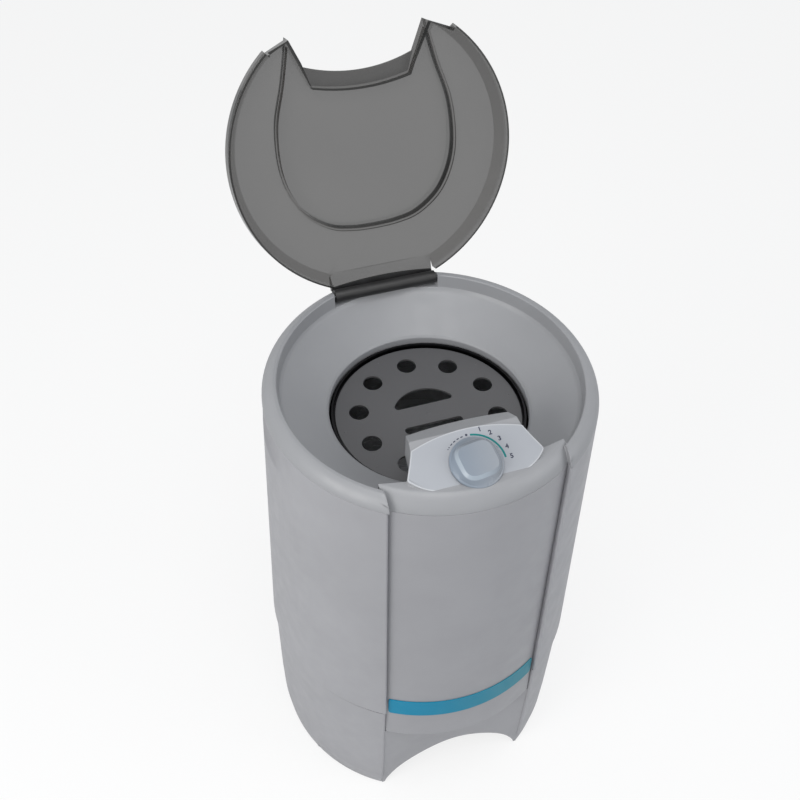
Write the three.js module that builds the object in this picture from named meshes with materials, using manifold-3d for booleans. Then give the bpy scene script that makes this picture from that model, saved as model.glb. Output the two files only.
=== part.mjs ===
// Spin dryer, built as it would come apart on a bench.
// Millimetres, +Z up. The origin is on the floor, under the spin axis. The control panel faces -Y.
import * as THREE from "three";
import { mergeVertices } from "three/addons/utils/BufferGeometryUtils.js";
import Module from "manifold-3d";

const wasm = await Module();
wasm.setup();

// Clearances and counts that many pieces share
const seat = 0.3;
const run = 0.6;
const overrun = 5;
const overlap = 1;
const reach = 600;
const farReach = 1200;
const weldTolerance = 0.001;
const roundSides = 48;
const motorSides = 28;
const midSides = 18;
const smallSides = 10;
const hexSides = 6;
const fullTurn = 360;
const degree = Math.PI / 180;
const quarter = Math.PI / 2;

// Moulded body: base, cabinet, front panel and top deck, all worked out from the cabinet's foot
const wall = 3;
const cabinetFootRadius = 220;
const seamZ = 240;
const rimZ = 681;
const cabinetTaper = 12;
const rimRadius = cabinetFootRadius - cabinetTaper;
const cabinetHem = 4.5;
const spigotHeight = 14;
const spigotRadius = cabinetFootRadius - cabinetHem - run;
const seamTuck = 2.5;
const skirtTopRadius = cabinetFootRadius - seamTuck;
const skirtMidZ = 80;
const skirtMidTaper = 1.5;
const skirtMidRadius = skirtTopRadius - skirtMidTaper;
const skirtLowZ = 30;
const skirtLowTaper = 3;
const skirtLowRadius = skirtTopRadius - skirtLowTaper;
const skirtFootZ = 2;
const skirtFootTaper = 6.5;
const skirtFootRadius = skirtTopRadius - skirtFootTaper;
const panelHalfWidth = 111;
const panelInset = 8;
const panelFootZ = 178;
const panelFootFlare = 1.7;
const panelFootRadius = cabinetFootRadius - panelInset + panelFootFlare;
const panelDrop = 4;
const returnDepth = 15;

// Coloured band let in across the foot of the panel
const bandFootZ = 236;
const bandTopZ = 271;
const bandThick = 1.1;
const bandMargin = 3.5;

// Finger grips under the rim, one on each side
const gripDepth = 15.4;
const gripTopZ = 677.5;
const gripHeight = 50.5;
const gripHalfLength = 100;
const gripCurveShares = [
  [0, 0],
  [0.23, 0.14],
  [0.42, 0.26],
  [1, 1],
];

// Base: platform, arch and the bay for a bowl behind it
const platformTopZ = 200;
const platformThick = 4;
const flatFrontInset = 4;
const flatFrontLean = 4;
const frontChord = Math.sqrt(skirtTopRadius * skirtTopRadius - panelHalfWidth * panelHalfWidth);
const archTopY = flatFrontInset - frontChord;
const archFootY = archTopY + flatFrontLean;
const archHeight = 85;
const archSteps = 16;
const archFullness = 0.7;
const shelfDepth = 12;
const shelfFrontY = archTopY + shelfDepth;
const bayCeilingZ = 150;
const bayRearShare = 0.4232;
const bayRearY = -skirtTopRadius * bayRearShare;
const footRingZ = 7.3;

// Feet and bottom cover
const footRadius = 12;
const footWallGap = 1;
const footCircle = skirtFootRadius - wall - footRadius - footWallGap;
const footSideGap = 0.7;
const footFrontX = panelHalfWidth + wall + footRadius + footSideGap;
const footFrontAngle = Math.acos(footFrontX / footCircle) / degree;
const footRearAngle = 45;
const halfTurn = 180;
const footAngles = [footRearAngle, halfTurn - footRearAngle, halfTurn + footFrontAngle, -footFrontAngle];
const coverPlateGap = 3;
const coverPlateRadius = footCircle - footRadius - coverPlateGap;
const coverPlateLap = 8;
const footRingInner = coverPlateRadius - coverPlateLap;
const coverPlateZ = 4;
const coverScrewInset = 4;
const coverScrewCircle = coverPlateRadius - coverScrewInset;
const coverScrewAngles = [10, 62, 118, 170];
const screwRadius = 2;
const screwHeadRadius = 3.8;
const screwHead = 1.6;

// Top deck: crest, inner wall, funnel and rolled lip
const crestZ = 698;
const crestInset = 19;
const crestRadius = rimRadius - crestInset;
const crestWidth = 4.5;
const bevelFullness = 1.3;
const deckWallZ = 680;
const deckWallLean = 2;
const deckWallRadius = crestRadius - deckWallLean;
const filletDrop = 11;
const filletRun = 12;
const lipRadius = 126.6;
const lipZ = 644;
const lipRound = 3;
const lipFootZ = 631;
const filletShare = 0.25;
const deckRibInset = 0.8;
const deckRibRadius = crestRadius - deckRibInset;
const deckRibZ = 650;
const deckSkirtGap = 3.3;
const deckSkirtDrop = 11;
const ledgeLean = 0.2;
const ledgeHalfWidth = 116.5;
const ledgeShare = 0.35;

// Console pod on the deck's front, placed from the centre of its dial
const dialInset = 36.5;
const dialY = dialInset - crestRadius;
const ledgeRearStep = 10.3;
const ledgeRearY = dialY + ledgeRearStep;
const faceSlope = 0.318;
const faceRearZ = 714;
const faceRearStep = 31.5;
const faceRearY = dialY + faceRearStep;
const faceRearBow = 11.6;
const faceRearMidY = faceRearY + faceRearBow;
const faceRearHalf = 68.5;
const faceWaistHalf = 74;
const faceWaistStep = 18.5;
const faceWaistY = dialY + faceWaistStep;
const faceWideHalf = 83;
const faceWideStep = 0.5;
const faceWideY = dialY + faceWideStep;
const faceShoulderHalf = 66;
const faceShoulderStep = 16;
const faceShoulderY = dialY - faceShoulderStep;
const faceFrontBow = 15.8;
const faceFrontY = faceShoulderY - faceFrontBow;
const podRearHalf = 64;
const podRearStep = 61.5;
const podRearCornerY = dialY + podRearStep;
const podRearBow = 7;
const podRearMidY = podRearCornerY + podRearBow;
const podRearZ = 704;
const podFloorZ = 672;
const dialPlate = 1.5;
const arcSteps = 8;

// Timer and knob, along the face's own normal
const knobRadius = 32;
const knobSkirt = 4;
const knobShoulder = 1;
const knobHeight = 15;
const knobCrownLong = 22;
const knobCrownShort = 20;
const timerShaftRadius = 3;
const timerShaftUp = 13;
const timerHalfWidth = 23;
const timerHalfDepth = 17;
const timerThick = 20;

// Lid, in its closed place, and its hinge
const lidEdgeInset = 4.5;
const lidEdgeRadius = crestRadius - lidEdgeInset;
const lidEdgeZ = 703;
const lidSkirtTaper = 1.6;
const lidSkirtRadius = lidEdgeRadius - lidSkirtTaper;
const lidSkirtZ = 680.6;
const lidBandWidth = 13.5;
const lidBandRadius = lidEdgeRadius - lidBandWidth;
const lidBandZ = 707;
const hingeY = lidSkirtRadius;
const hingeZ = 690.4;
const lidOpenAngle = 109.5;
const lidWall = 2.8;
const lidRingZ = 710;
const lidPanelZ = 720;
const lidStepX = 117.4;
const lidStepGap = 6.7;
const lidStepY = ledgeRearY + lidStepGap;
const lidHornX = 88;
const lidHornLap = 5;
const lidHornY = ledgeRearY - lidHornLap;
const lidCutCornerX = 64;
const lidCutGap = 4;
const lidCutCornerY = podRearCornerY + lidCutGap;
const lidCutBow = 8;
const lidCutMidY = lidCutCornerY + lidCutBow;
const lidLipCornerX = 71;
const lidLipReach = 23;
const lidLipCornerY = lidCutCornerY - lidLipReach;
const lidLipBow = 13;
const lidLipMidY = lidLipCornerY + lidLipBow;
const lidHornFootZ = 693;
const lidCutFootZ = 705;
const lidTabHalf = 70;
const lidPanelHalfWidth = 117;
const lidPanelLength = 104;
const lidPanelShares = [
  [0.752, -1.423],
  [0.855, -0.923],
  [0.974, -0.462],
  [1, 0],
  [0.94, 0.365],
  [0.778, 0.692],
  [0.513, 0.913],
  [0.25, 0.985],
  [0, 1],
];
const barrelRadius = 8.5;
const pinRadius = 3;
const pinGrip = 9;
const pinReach = 8;
const notchHalf = 72;
const notchFront = 11.9;
const notchBack = 18.1;
const notchFrontY = hingeY - notchFront;
const notchBackY = hingeY + notchBack;
const notchZ = 679;
const hingeBossHalf = 8;

// Outer tub, seal and drain
const tubRoom = 18.5;
const tubRadius = rimRadius - tubRoom;
const tubFootZ = 248;
const tubTopZ = 645;
const tubNeckRadius = 34;
const tubNeckBore = 30;
const tubNeckTopZ = 264;
const tubLegInset = 24.5;
const tubLegCircle = tubRadius - tubLegInset;
const tubLegRadius = 8;
const legAngles = [45, 135, 225, 315];
const gasketWidth = 4.6;
const drainInset = 59.5;
const drainY = drainInset - tubRadius;
const drainBore = 13.5;
const drainWall = 3.5;
const drainNeckZ = 236;
const spoutFootZ = 135;

// Basket, its loose cover and its drive
const waterGap = 14.5;
const basketRadius = tubRadius - wall - waterGap;
const basketWall = 2;
const basketFootZ = 272;
const basketFootRound = 7;
const basketRoundLess = 1;
const basketShoulderZ = 600;
const mouthGap = 2.6;
const mouthRadius = lipRadius - mouthGap;
const mouthWall = 2.5;
const mouthFootZ = 626;
const mouthTopZ = 634;
const mouthLedge = 8.5;
const sieveRows = 3;
const sieveDirections = 5;
const sieveRadius = 3.5;
const discGap = 2.5;
const discRadius = mouthRadius - mouthWall - discGap;
const discThick = 3;
const discDrop = 4.4;
const discFootZ = mouthTopZ - discDrop - discThick;
const discHoles = 10;
const discHoleRadius = 12.7;
const discHoleInset = 30.5;
const discHoleCircle = discRadius - discHoleInset;
const discHolePhase = -18;
const slotEdgeY = 16;
const slotHalf = 42;
const slotRise = 28;
const shaftRadius = 10;
const shaftFootZ = 88;
const shaftTopZ = 292;
const hubRadius = 60;
const hubThick = 7;
const nutRadius = 17;
const nutHeight = 11;

// Motor, its plate and its rubber mounts
const plateZ = 214;
const plateThick = 3;
const plateArmHalf = 16;
const mountAngles = [90, 210, 330];
const boltRadius = 4;
const boltHeadRadius = 6.5;
const boltHead = 4.5;
const boltTail = 12;
const motorRadius = 70;
const motorWall = 2.5;
const motorFootZ = 108;
const motorFlange = 10;
const platformGap = 5;
const platformHole = motorRadius + platformGap;
const mountRadius = 15;
const mountRoom = 15;
const mountCircle = motorRadius + motorFlange + mountRoom + mountRadius;
const plateArmEnd = 16;
const plateArmRadius = mountCircle + plateArmEnd;
const plateBoreRoom = 12;
const plateInset = 6;
const plateRadius = mountCircle - plateInset;
const bearingBore = 10.4;
const upperBearingRadius = 21;
const upperBearingZ = 198;
const lowerBearingRadius = 18;
const lowerBearingZ = 98;
const bearingThick = 12;
const bellFootZ = 93;
const statorBoreShare = 0.6286;
const statorBore = motorRadius * statorBoreShare;
const statorFootZ = 130;
const statorTopZ = 186;
const rotorFootZ = 126;
const rotorTopZ = 190;
const fanZ = 113;
const fanThick = 2;
const fanBladeHeight = 7;
const fanBlades = 8;
const fanRoom = 10;
const fanRadius = motorRadius - fanRoom;
const fanHub = 18;

// Brake: drum, lever, pad, bracket and cable
const drumRadius = 48;
const drumZ = 221.5;
const drumHeight = 15;
const drumWall = 4;
const leverX = 61;
const leverHalf = 6;
const leverPivotY = -45;
const leverEndY = 60;
const leverZ = 226;
const leverThick = 5;
const padHalf = 9;
const padOver = 2;
const bracketThick = 3;
const bracketHalf = 9;
const cableStopX = 84.5;
const cableStopY = 56;
const cableStopHalf = 6;
const cableStopTopZ = 235;
const pivotRadius = 4;
const cableRadius = 2.5;
const springWall = 3;
const springHeight = 6;

// Electrical parts
const capacitorX = -112;
const capacitorY = 70;
const capacitorRadius = 22;
const capacitorFootZ = 92;
const capacitorHeight = 88;
const clampZ = 120;
const clampHeight = 22;
const clampThick = 2.5;
const clampHalf = 9;
const glandZ = 120;
const glandRadius = 9;
const glandCollar = 13;
const glandCollarThick = 5;
const switchX = 20;
const switchBehindHinge = 11.4;
const switchY = hingeY + switchBehindHinge;
const switchHalfLength = 7;
const switchHalfWidth = 4;
const switchHeight = 20;
const plungerRadius = 2.2;
const plungerRestZ = 684;
const harnessRadius = 3;
const cableSteps = 36;
const cableSides = 4;

// Routes of the brake cable and of the wiring. The drops hang inside the cabinet's wall, so their
// middle number is the distance in from the rim; the other points are chosen by hand.
const brakeCableDrop = [
  [40, 16.6, 674],
  [40, 16.6, 640],
  [40.5, 14, 560],
  [41, 12, 440],
  [41.5, 11, 320],
  [43, 12, 262],
  [48, 22, 240],
];
const brakeCableRoute = [
  ...brakeCableDrop.map(([x, inset, z]) => [x, rimRadius - inset, z]),
  [62, 160, 231],
  [86, 132, 229],
  [106, 102, 228.5],
  [124, 84, 228.5],
  [129, 68, 228.5],
  [122, 58, 228.5],
  [112, 56, 228.5],
  [88, 56, 228.5],
];
const harnessDrop = [
  [-32, 26.5, 684],
  [-34, 21, 676],
  [-34, 17.5, 662],
  [-34, 17, 640],
  [-34, 15, 560],
  [-34, 13, 440],
  [-34, 11, 320],
  [-36, 12, 262],
  [-46, 24, 238],
];
const harnessRoute = [
  ...harnessDrop.map(([x, inset, z]) => [x, inset - rimRadius, z]),
  [-66, -160, 226],
  [-92, -128, 218],
  [-122, -88, 212],
  [-138, -50, 208],
  [-140, -20, 205],
];

// A closed three.js geometry as a solid that can be cut and joined
function solid(geometry) {
  const loose = geometry.index ? geometry.toNonIndexed() : geometry.clone();
  loose.deleteAttribute("normal");
  loose.deleteAttribute("uv");
  const merged = mergeVertices(loose, weldTolerance);
  const corners = merged.index.array;
  const kept = [];
  for (let i = 0; i < corners.length; i += 3) {
    const [a, b, c] = [corners[i], corners[i + 1], corners[i + 2]];
    if (a !== b && b !== c && c !== a) kept.push(a, b, c);
  }
  const vertProperties = merged.attributes.position.array;
  const made = meshed(vertProperties, kept);
  return made.volume() > 0 ? made : meshed(vertProperties, kept.reverse());
}

function meshed(vertProperties, corners) {
  const triVerts = new Uint32Array(corners);
  return new wasm.Manifold(new wasm.Mesh({ numProp: 3, vertProperties, triVerts }));
}

// A solid of revolution about Z from a closed outline of radius and height
function turned(outline, sides = roundSides) {
  const points = [...outline, outline[0]].map(([r, z]) => new THREE.Vector2(r, z));
  const lathe = new THREE.LatheGeometry(points, sides);
  return solid(lathe.rotateX(quarter));
}

function ring(inner, outer, low, high, sides = roundSides) {
  const outline = [
    [inner, low],
    [outer, low],
    [outer, high],
    [inner, high],
  ];
  return turned(outline, sides);
}

// The line drawn beside an open line, at one distance to its left
function beside(line, distance) {
  const sides = line.slice(1).map((end, i) => {
    const start = line[i];
    const length = Math.hypot(end[0] - start[0], end[1] - start[1]);
    return [-(end[1] - start[1]) / length, (end[0] - start[0]) / length];
  });
  return line.map((point, i) => {
    const before = sides[Math.max(i - 1, 0)];
    const after = sides[Math.min(i, sides.length - 1)];
    const share = distance / (1 + before[0] * after[0] + before[1] * after[1]);
    return [point[0] + (before[0] + after[0]) * share, point[1] + (before[1] + after[1]) * share];
  });
}

function turnedShell(line, thick, sides = roundSides) {
  return turned([...line, ...beside(line, thick).reverse()], sides);
}

function block(x0, x1, y0, y1, z0, z1) {
  const box = new THREE.BoxGeometry(x1 - x0, y1 - y0, z1 - z0);
  return solid(box.translate((x0 + x1) / 2, (y0 + y1) / 2, (z0 + z1) / 2));
}

function extruded(outline, length) {
  const shape = new THREE.Shape(outline.map(([x, y]) => new THREE.Vector2(x, y)));
  return new THREE.ExtrudeGeometry(shape, { depth: length, bevelEnabled: false });
}

function prism(outline, low, high) {
  return solid(extruded(outline, high - low).translate(0, 0, low));
}

// An outline of x and z carried along Y, and one of y and z carried along X
function prismAlongY(outline, low, high) {
  return solid(extruded(outline, high - low).rotateX(quarter).translate(0, high, 0));
}

function prismAlongX(outline, low, high) {
  const turn = new THREE.Matrix4().makeBasis(
    new THREE.Vector3(0, 1, 0),
    new THREE.Vector3(0, 0, 1),
    new THREE.Vector3(1, 0, 0),
  );
  return solid(extruded(outline, high - low).applyMatrix4(turn).translate(low, 0, 0));
}

function rod(x, y, low, high, radius, sides = smallSides) {
  const cylinder = new THREE.CylinderGeometry(radius, radius, high - low, sides);
  return solid(cylinder.rotateX(quarter).translate(x, y, (low + high) / 2));
}

function rodAlongX(low, high, y, z, radius, sides = smallSides) {
  const cylinder = new THREE.CylinderGeometry(radius, radius, high - low, sides);
  return solid(cylinder.rotateZ(quarter).translate((low + high) / 2, y, z));
}

function rodAlongY(x, low, high, z, radius, sides = smallSides) {
  const cylinder = new THREE.CylinderGeometry(radius, radius, high - low, sides);
  return solid(cylinder.translate(x, (low + high) / 2, z));
}

function tubeAlong(route, radius) {
  const path = new THREE.CatmullRomCurve3(route.map((p) => new THREE.Vector3(...p)), false, "centripetal");
  const section = new THREE.Shape();
  section.absarc(0, 0, radius, 0, Math.PI + Math.PI, false);
  const options = { steps: cableSteps, bevelEnabled: false, extrudePath: path, curveSegments: cableSides };
  return solid(new THREE.ExtrudeGeometry(section, options));
}

// Places on a circle about the spin axis
function onCircle(radius, angle) {
  return [radius * Math.cos(angle * degree), radius * Math.sin(angle * degree)];
}

// Points of the arc through two level ends and a middle point, from the right end to the left end
function bow(half, endY, midY, steps = arcSteps) {
  const rise = midY - endY;
  const radius = (half * half + rise * rise) / (rise + rise);
  const centreY = midY - radius;
  return Array.from({ length: steps + 1 }, (_, i) => {
    const x = half - ((half + half) * i) / steps;
    return [x, centreY + Math.sign(radius) * Math.sqrt(radius * radius - x * x)];
  });
}

const mirrored = (line) => line.map(([x, y]) => [-x, y]).reverse();
const between = (a, b, share) => a + (b - a) * share;

// Outer radii of the tapering walls at any height
const rimFall = cabinetFootRadius - rimRadius;
const cabinetRadius = (z) => cabinetFootRadius - (rimFall * (z - seamZ)) / (rimZ - seamZ);
const cabinetTopZ = rimZ - seat;
const shoulderZ = seamZ - seat;
const panelTopZ = rimZ - panelDrop - seat;
const panelRadius = (z) => cabinetRadius(z) - panelInset;
const faceZ = (y) => faceRearZ + faceSlope * (y - faceRearY);
const ledgeY = (x) => ledgeRearY - ledgeLean * (ledgeHalfWidth - Math.abs(x));
const funnelFootRadius = lipRadius + lipRound;
const funnelTopRadius = deckWallRadius - filletRun;
const funnelTopZ = deckWallZ - filletDrop;

const skirtLine = [
  [skirtFootRadius, skirtFootZ],
  [skirtLowRadius, skirtLowZ],
  [skirtMidRadius, skirtMidZ],
  [skirtTopRadius, shoulderZ],
];

// Base housing: skirt, spigot, platform, feet ring, arch wall and bowl bay
function baseHousing() {
  const cabinetSide = panelHalfWidth + wall;
  const filled = turned([[0, skirtFootZ], ...skirtLine, [0, shoulderZ]]);
  const within = turned([[0, skirtFootZ], ...beside(skirtLine, wall / 2), [0, shoulderZ]]);
  const spigotInner = spigotRadius - wall;
  let base = turnedShell(skirtLine, wall)
    .add(ring(spigotInner, spigotRadius, shoulderZ - spigotHeight, seamZ + spigotHeight))
    .add(ring(platformHole, spigotRadius, platformTopZ - platformThick, platformTopZ));
  const footRing = ring(footRingInner, skirtFootRadius, footRingZ, footRingZ + wall);
  const footGap = block(-cabinetSide, cabinetSide, -reach, 0, 0, footRingZ + footRingZ);
  base = base.add(footRing.subtract(footGap).intersect(within));
  base = base.subtract(block(-panelHalfWidth, panelHalfWidth, -reach, shelfFrontY + overlap, -reach, reach));
  base = base.subtract(block(-cabinetSide - seat, cabinetSide + seat, -reach, 0, seamZ, reach));
  const returnBand = filled.subtract(ring(0, archReturnRadius(), -overrun, reach));
  for (const side of [-1, 1]) {
    const slab = block(panelHalfWidth, cabinetSide, -reach, 0, skirtFootZ, shoulderZ);
    base = base.add(returnBand.intersect(side > 0 ? slab : slab.mirror([1, 0, 0])));
  }
  const shelfTopZ = panelFootZ - seat;
  const frontWall = [
    [archFootY, skirtFootZ],
    [archTopY, shelfTopZ],
    [archTopY + wall, shelfTopZ],
    [archFootY + wall, skirtFootZ],
  ];
  const shelfBackY = shelfFrontY + wall;
  base = base.add(prismAlongX(frontWall, -cabinetSide, cabinetSide));
  base = base.add(block(-cabinetSide, cabinetSide, archTopY, shelfBackY, shelfTopZ - wall, shelfTopZ));
  base = base.add(block(-cabinetSide, cabinetSide, shelfFrontY, shelfBackY, shelfTopZ - wall, platformTopZ));
  const arch = Array.from({ length: archSteps + 1 }, (_, i) => {
    const share = between(1, -1, i / archSteps);
    const square = share * share;
    return [panelHalfWidth * share, archHeight * (1 - square) * (1 + archFullness * square * square)];
  });
  arch.push([-panelHalfWidth, -overrun], [panelHalfWidth, -overrun]);
  base = base.subtract(prismAlongY(arch, -reach, archFootY + wall + overrun));
  const ceiling = block(-reach, reach, archTopY, bayRearY, bayCeilingZ - wall, bayCeilingZ);
  const partition = block(-reach, reach, bayRearY - wall, bayRearY, footRingZ, bayCeilingZ);
  base = base.add(ceiling.add(partition).intersect(within));
  base = base.subtract(rod(0, drainY, skirtMidZ, reach, drainHole(), midSides));
  for (const angle of mountAngles) {
    const [x, y] = onCircle(mountCircle, angle);
    base = base.subtract(rod(x, y, skirtMidZ, reach, boltRadius + run));
  }
  for (const angle of coverScrewAngles) {
    const [x, y] = onCircle(coverScrewCircle, angle);
    base = base.subtract(rod(x, y, 0, footRingZ + wall + overrun, screwRadius + seat));
  }
  const strapHole = rod(capacitorX, strapY(), platformTopZ - overrun - overrun, reach, screwRadius);
  base = base.subtract(rodAlongY(0, 0, reach, glandZ, glandRadius + seat, midSides));
  return base.subtract(strapHole);
}

function archReturnRadius() {
  return skirtTopRadius - returnDepth - panelInset;
}

function drainHole() {
  return drainBore + drainWall + drainWall + run + run;
}

function strapY() {
  return capacitorY + capacitorRadius + clampHalf;
}

// Cabinet: tapering shell, open at the front, with folded edges and a finger grip on each side
function cabinetShell() {
  const line = [
    [cabinetRadius(seamZ), seamZ],
    [cabinetRadius(cabinetTopZ), cabinetTopZ],
  ];
  const filled = turned([[0, seamZ], ...line, [0, cabinetTopZ]]);
  const hemZ = seamZ + spigotHeight;
  const hemInner = cabinetFootRadius - cabinetHem;
  let cabinet = turnedShell(line, wall).add(ring(hemInner, cabinetRadius(hemZ) - wall / 2, seamZ, hemZ));
  cabinet = cabinet.subtract(block(-panelHalfWidth, panelHalfWidth, -reach, 0, 0, farReach));
  const core = line.map(([r, z]) => [r - returnDepth, z]);
  const returnBand = filled.subtract(turned([[0, seamZ - overrun], ...core, [0, farReach]]));
  const slab = block(panelHalfWidth, panelHalfWidth + wall, -reach, 0, seamZ, farReach);
  cabinet = cabinet.add(returnBand.intersect(slab)).add(returnBand.intersect(slab.mirror([1, 0, 0])));
  const footZ = gripTopZ - gripHeight;
  const curve = gripCurveShares.map(([deep, high]) => [
    cabinetRadius(footZ) - gripDepth * deep,
    footZ + gripHeight * high,
  ]);
  const outside = cabinetFootRadius + overrun;
  const hollowOutline = [...curve, [outside, gripTopZ], [outside, footZ]];
  const hollow = prismAlongY(hollowOutline, -gripHalfLength, gripHalfLength);
  const backLine = beside(curve, wall);
  const backTop = [backLine[backLine.length - 1][0], cabinetTopZ];
  const cupOutline = [...backLine, backTop, [outside, cabinetTopZ], [outside, footZ - wall]];
  const cup = prismAlongY(cupOutline, -gripHalfLength, gripHalfLength).intersect(filled);
  const rightGrip = cup.subtract(hollow);
  cabinet = cabinet.subtract(hollow).subtract(hollow.mirror([1, 0, 0]));
  return cabinet.add(rightGrip).add(rightGrip.mirror([1, 0, 0]));
}

const panelLine = [
  [panelFootRadius, panelFootZ],
  [panelRadius(seamZ), seamZ],
  [panelRadius(panelTopZ), panelTopZ],
];

function frontPanel() {
  const half = panelHalfWidth - seat;
  const floorOutline = [
    [0, panelFootZ],
    [panelFootRadius - wall / 2, panelFootZ],
    [panelFootRadius - wall / 2, panelFootZ + wall],
    [0, panelFootZ + wall],
  ];
  const floor = turned(floorOutline).intersect(block(-half, half, -reach, shelfFrontY - overlap, 0, reach));
  return turnedShell(panelLine, wall)
    .intersect(block(-half, half, -reach, 0, 0, farReach))
    .add(floor);
}

function frontBand() {
  const proud = seat + bandThick;
  const line = [
    [panelRadius(bandFootZ) + proud, bandFootZ],
    [panelRadius(bandTopZ) + proud, bandTopZ],
  ];
  const half = panelHalfWidth - bandMargin;
  return turnedShell(line, bandThick).intersect(block(-half, half, -reach, 0, 0, reach));
}

// Points of the rounded outer bevel, from its foot up to the crest
function bevel(footRadius, footZ, topRadius, topZ) {
  return Array.from({ length: arcSteps / 2 + 1 }, (_, i) => {
    const turn = (quarter * i) / (arcSteps / 2);
    return [
      topRadius + (footRadius - topRadius) * Math.cos(turn) ** bevelFullness,
      footZ + (topZ - footZ) * Math.sin(turn) ** bevelFullness,
    ];
  });
}

const slopeLine = [
  [funnelTopRadius, funnelTopZ],
  [funnelFootRadius, lipZ],
  [lipRadius, lipZ - lipRound],
];
const funnelLine = [
  [deckWallRadius, deckWallZ],
  [deckWallRadius - filletRun * filletShare, deckWallZ - filletDrop / 2],
  ...slopeLine,
  [lipRadius, lipFootZ],
];
const crestOuterRadius = crestRadius + crestWidth;
const rimLine = [...bevel(rimRadius, rimZ, crestOuterRadius, crestZ), [crestRadius, crestZ], ...funnelLine];
const frontRimRadius = rimRadius - panelInset;
const frontRimZ = rimZ - panelDrop;
const frontCrestRadius = crestOuterRadius - panelInset - panelDrop;
const frontBevel = bevel(frontRimRadius, frontRimZ, frontCrestRadius, crestZ);

// Plan of the console pod, wide at the front and narrow behind, and of its sloping face
const faceSide = [
  [faceRearHalf, faceRearY],
  [faceWaistHalf, faceWaistY],
  [faceWideHalf, faceWideY],
  [faceShoulderHalf, faceShoulderY],
];
const facePlan = [
  ...bow(faceRearHalf, faceRearY, faceRearMidY).reverse(),
  ...faceSide.slice(1, -1),
  ...bow(faceShoulderHalf, faceShoulderY, faceFrontY),
  ...mirrored(faceSide.slice(1, -1)),
];
const podPlan = [
  ...bow(podRearHalf, podRearCornerY, podRearMidY).reverse(),
  ...faceSide.slice(0, -1),
  ...bow(faceShoulderHalf, faceShoulderY, faceFrontY),
  ...mirrored(faceSide.slice(0, -1)),
];

// A plan drawn in by one wall all round
function drawnIn(plan, distance) {
  const closed = [plan[plan.length - 1], ...plan, plan[0]];
  return beside(closed, THREE.ShapeUtils.area(plan.map(([x, y]) => ({ x, y }))) > 0 ? distance : -distance)
    .slice(1, -1);
}

// The pod's body under its face plane and its rear slope, lowered by an amount
function podBody(plan, footZ, lowered) {
  const rearFall = (faceZ(faceRearMidY) - podRearZ) / (podRearMidY - faceRearMidY);
  const frontEnd = faceFrontY - overrun;
  const rearEnd = podRearMidY + overrun;
  const section = [
    [frontEnd, footZ],
    [rearEnd, footZ],
    [rearEnd, podRearZ - rearFall * overrun - lowered],
    [faceRearMidY, faceZ(faceRearMidY) - lowered],
    [frontEnd, faceZ(frontEnd) - lowered],
  ];
  return prism(plan, footZ, farReach).intersect(prismAlongX(section, -reach, reach));
}

// Room for the dial plate, over the face plane and inside the face's own outline
function faceRoom() {
  const lowered = seat + dialPlate;
  const frontEnd = faceFrontY - overrun;
  const rearEnd = podRearMidY + overrun;
  const section = [
    [frontEnd, faceZ(frontEnd) - lowered],
    [rearEnd, faceZ(rearEnd) - lowered],
    [rearEnd, farReach],
    [frontEnd, farReach],
  ];
  return prism(drawnIn(facePlan, -seat), 0, farReach).intersect(prismAlongX(section, -reach, reach));
}

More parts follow.
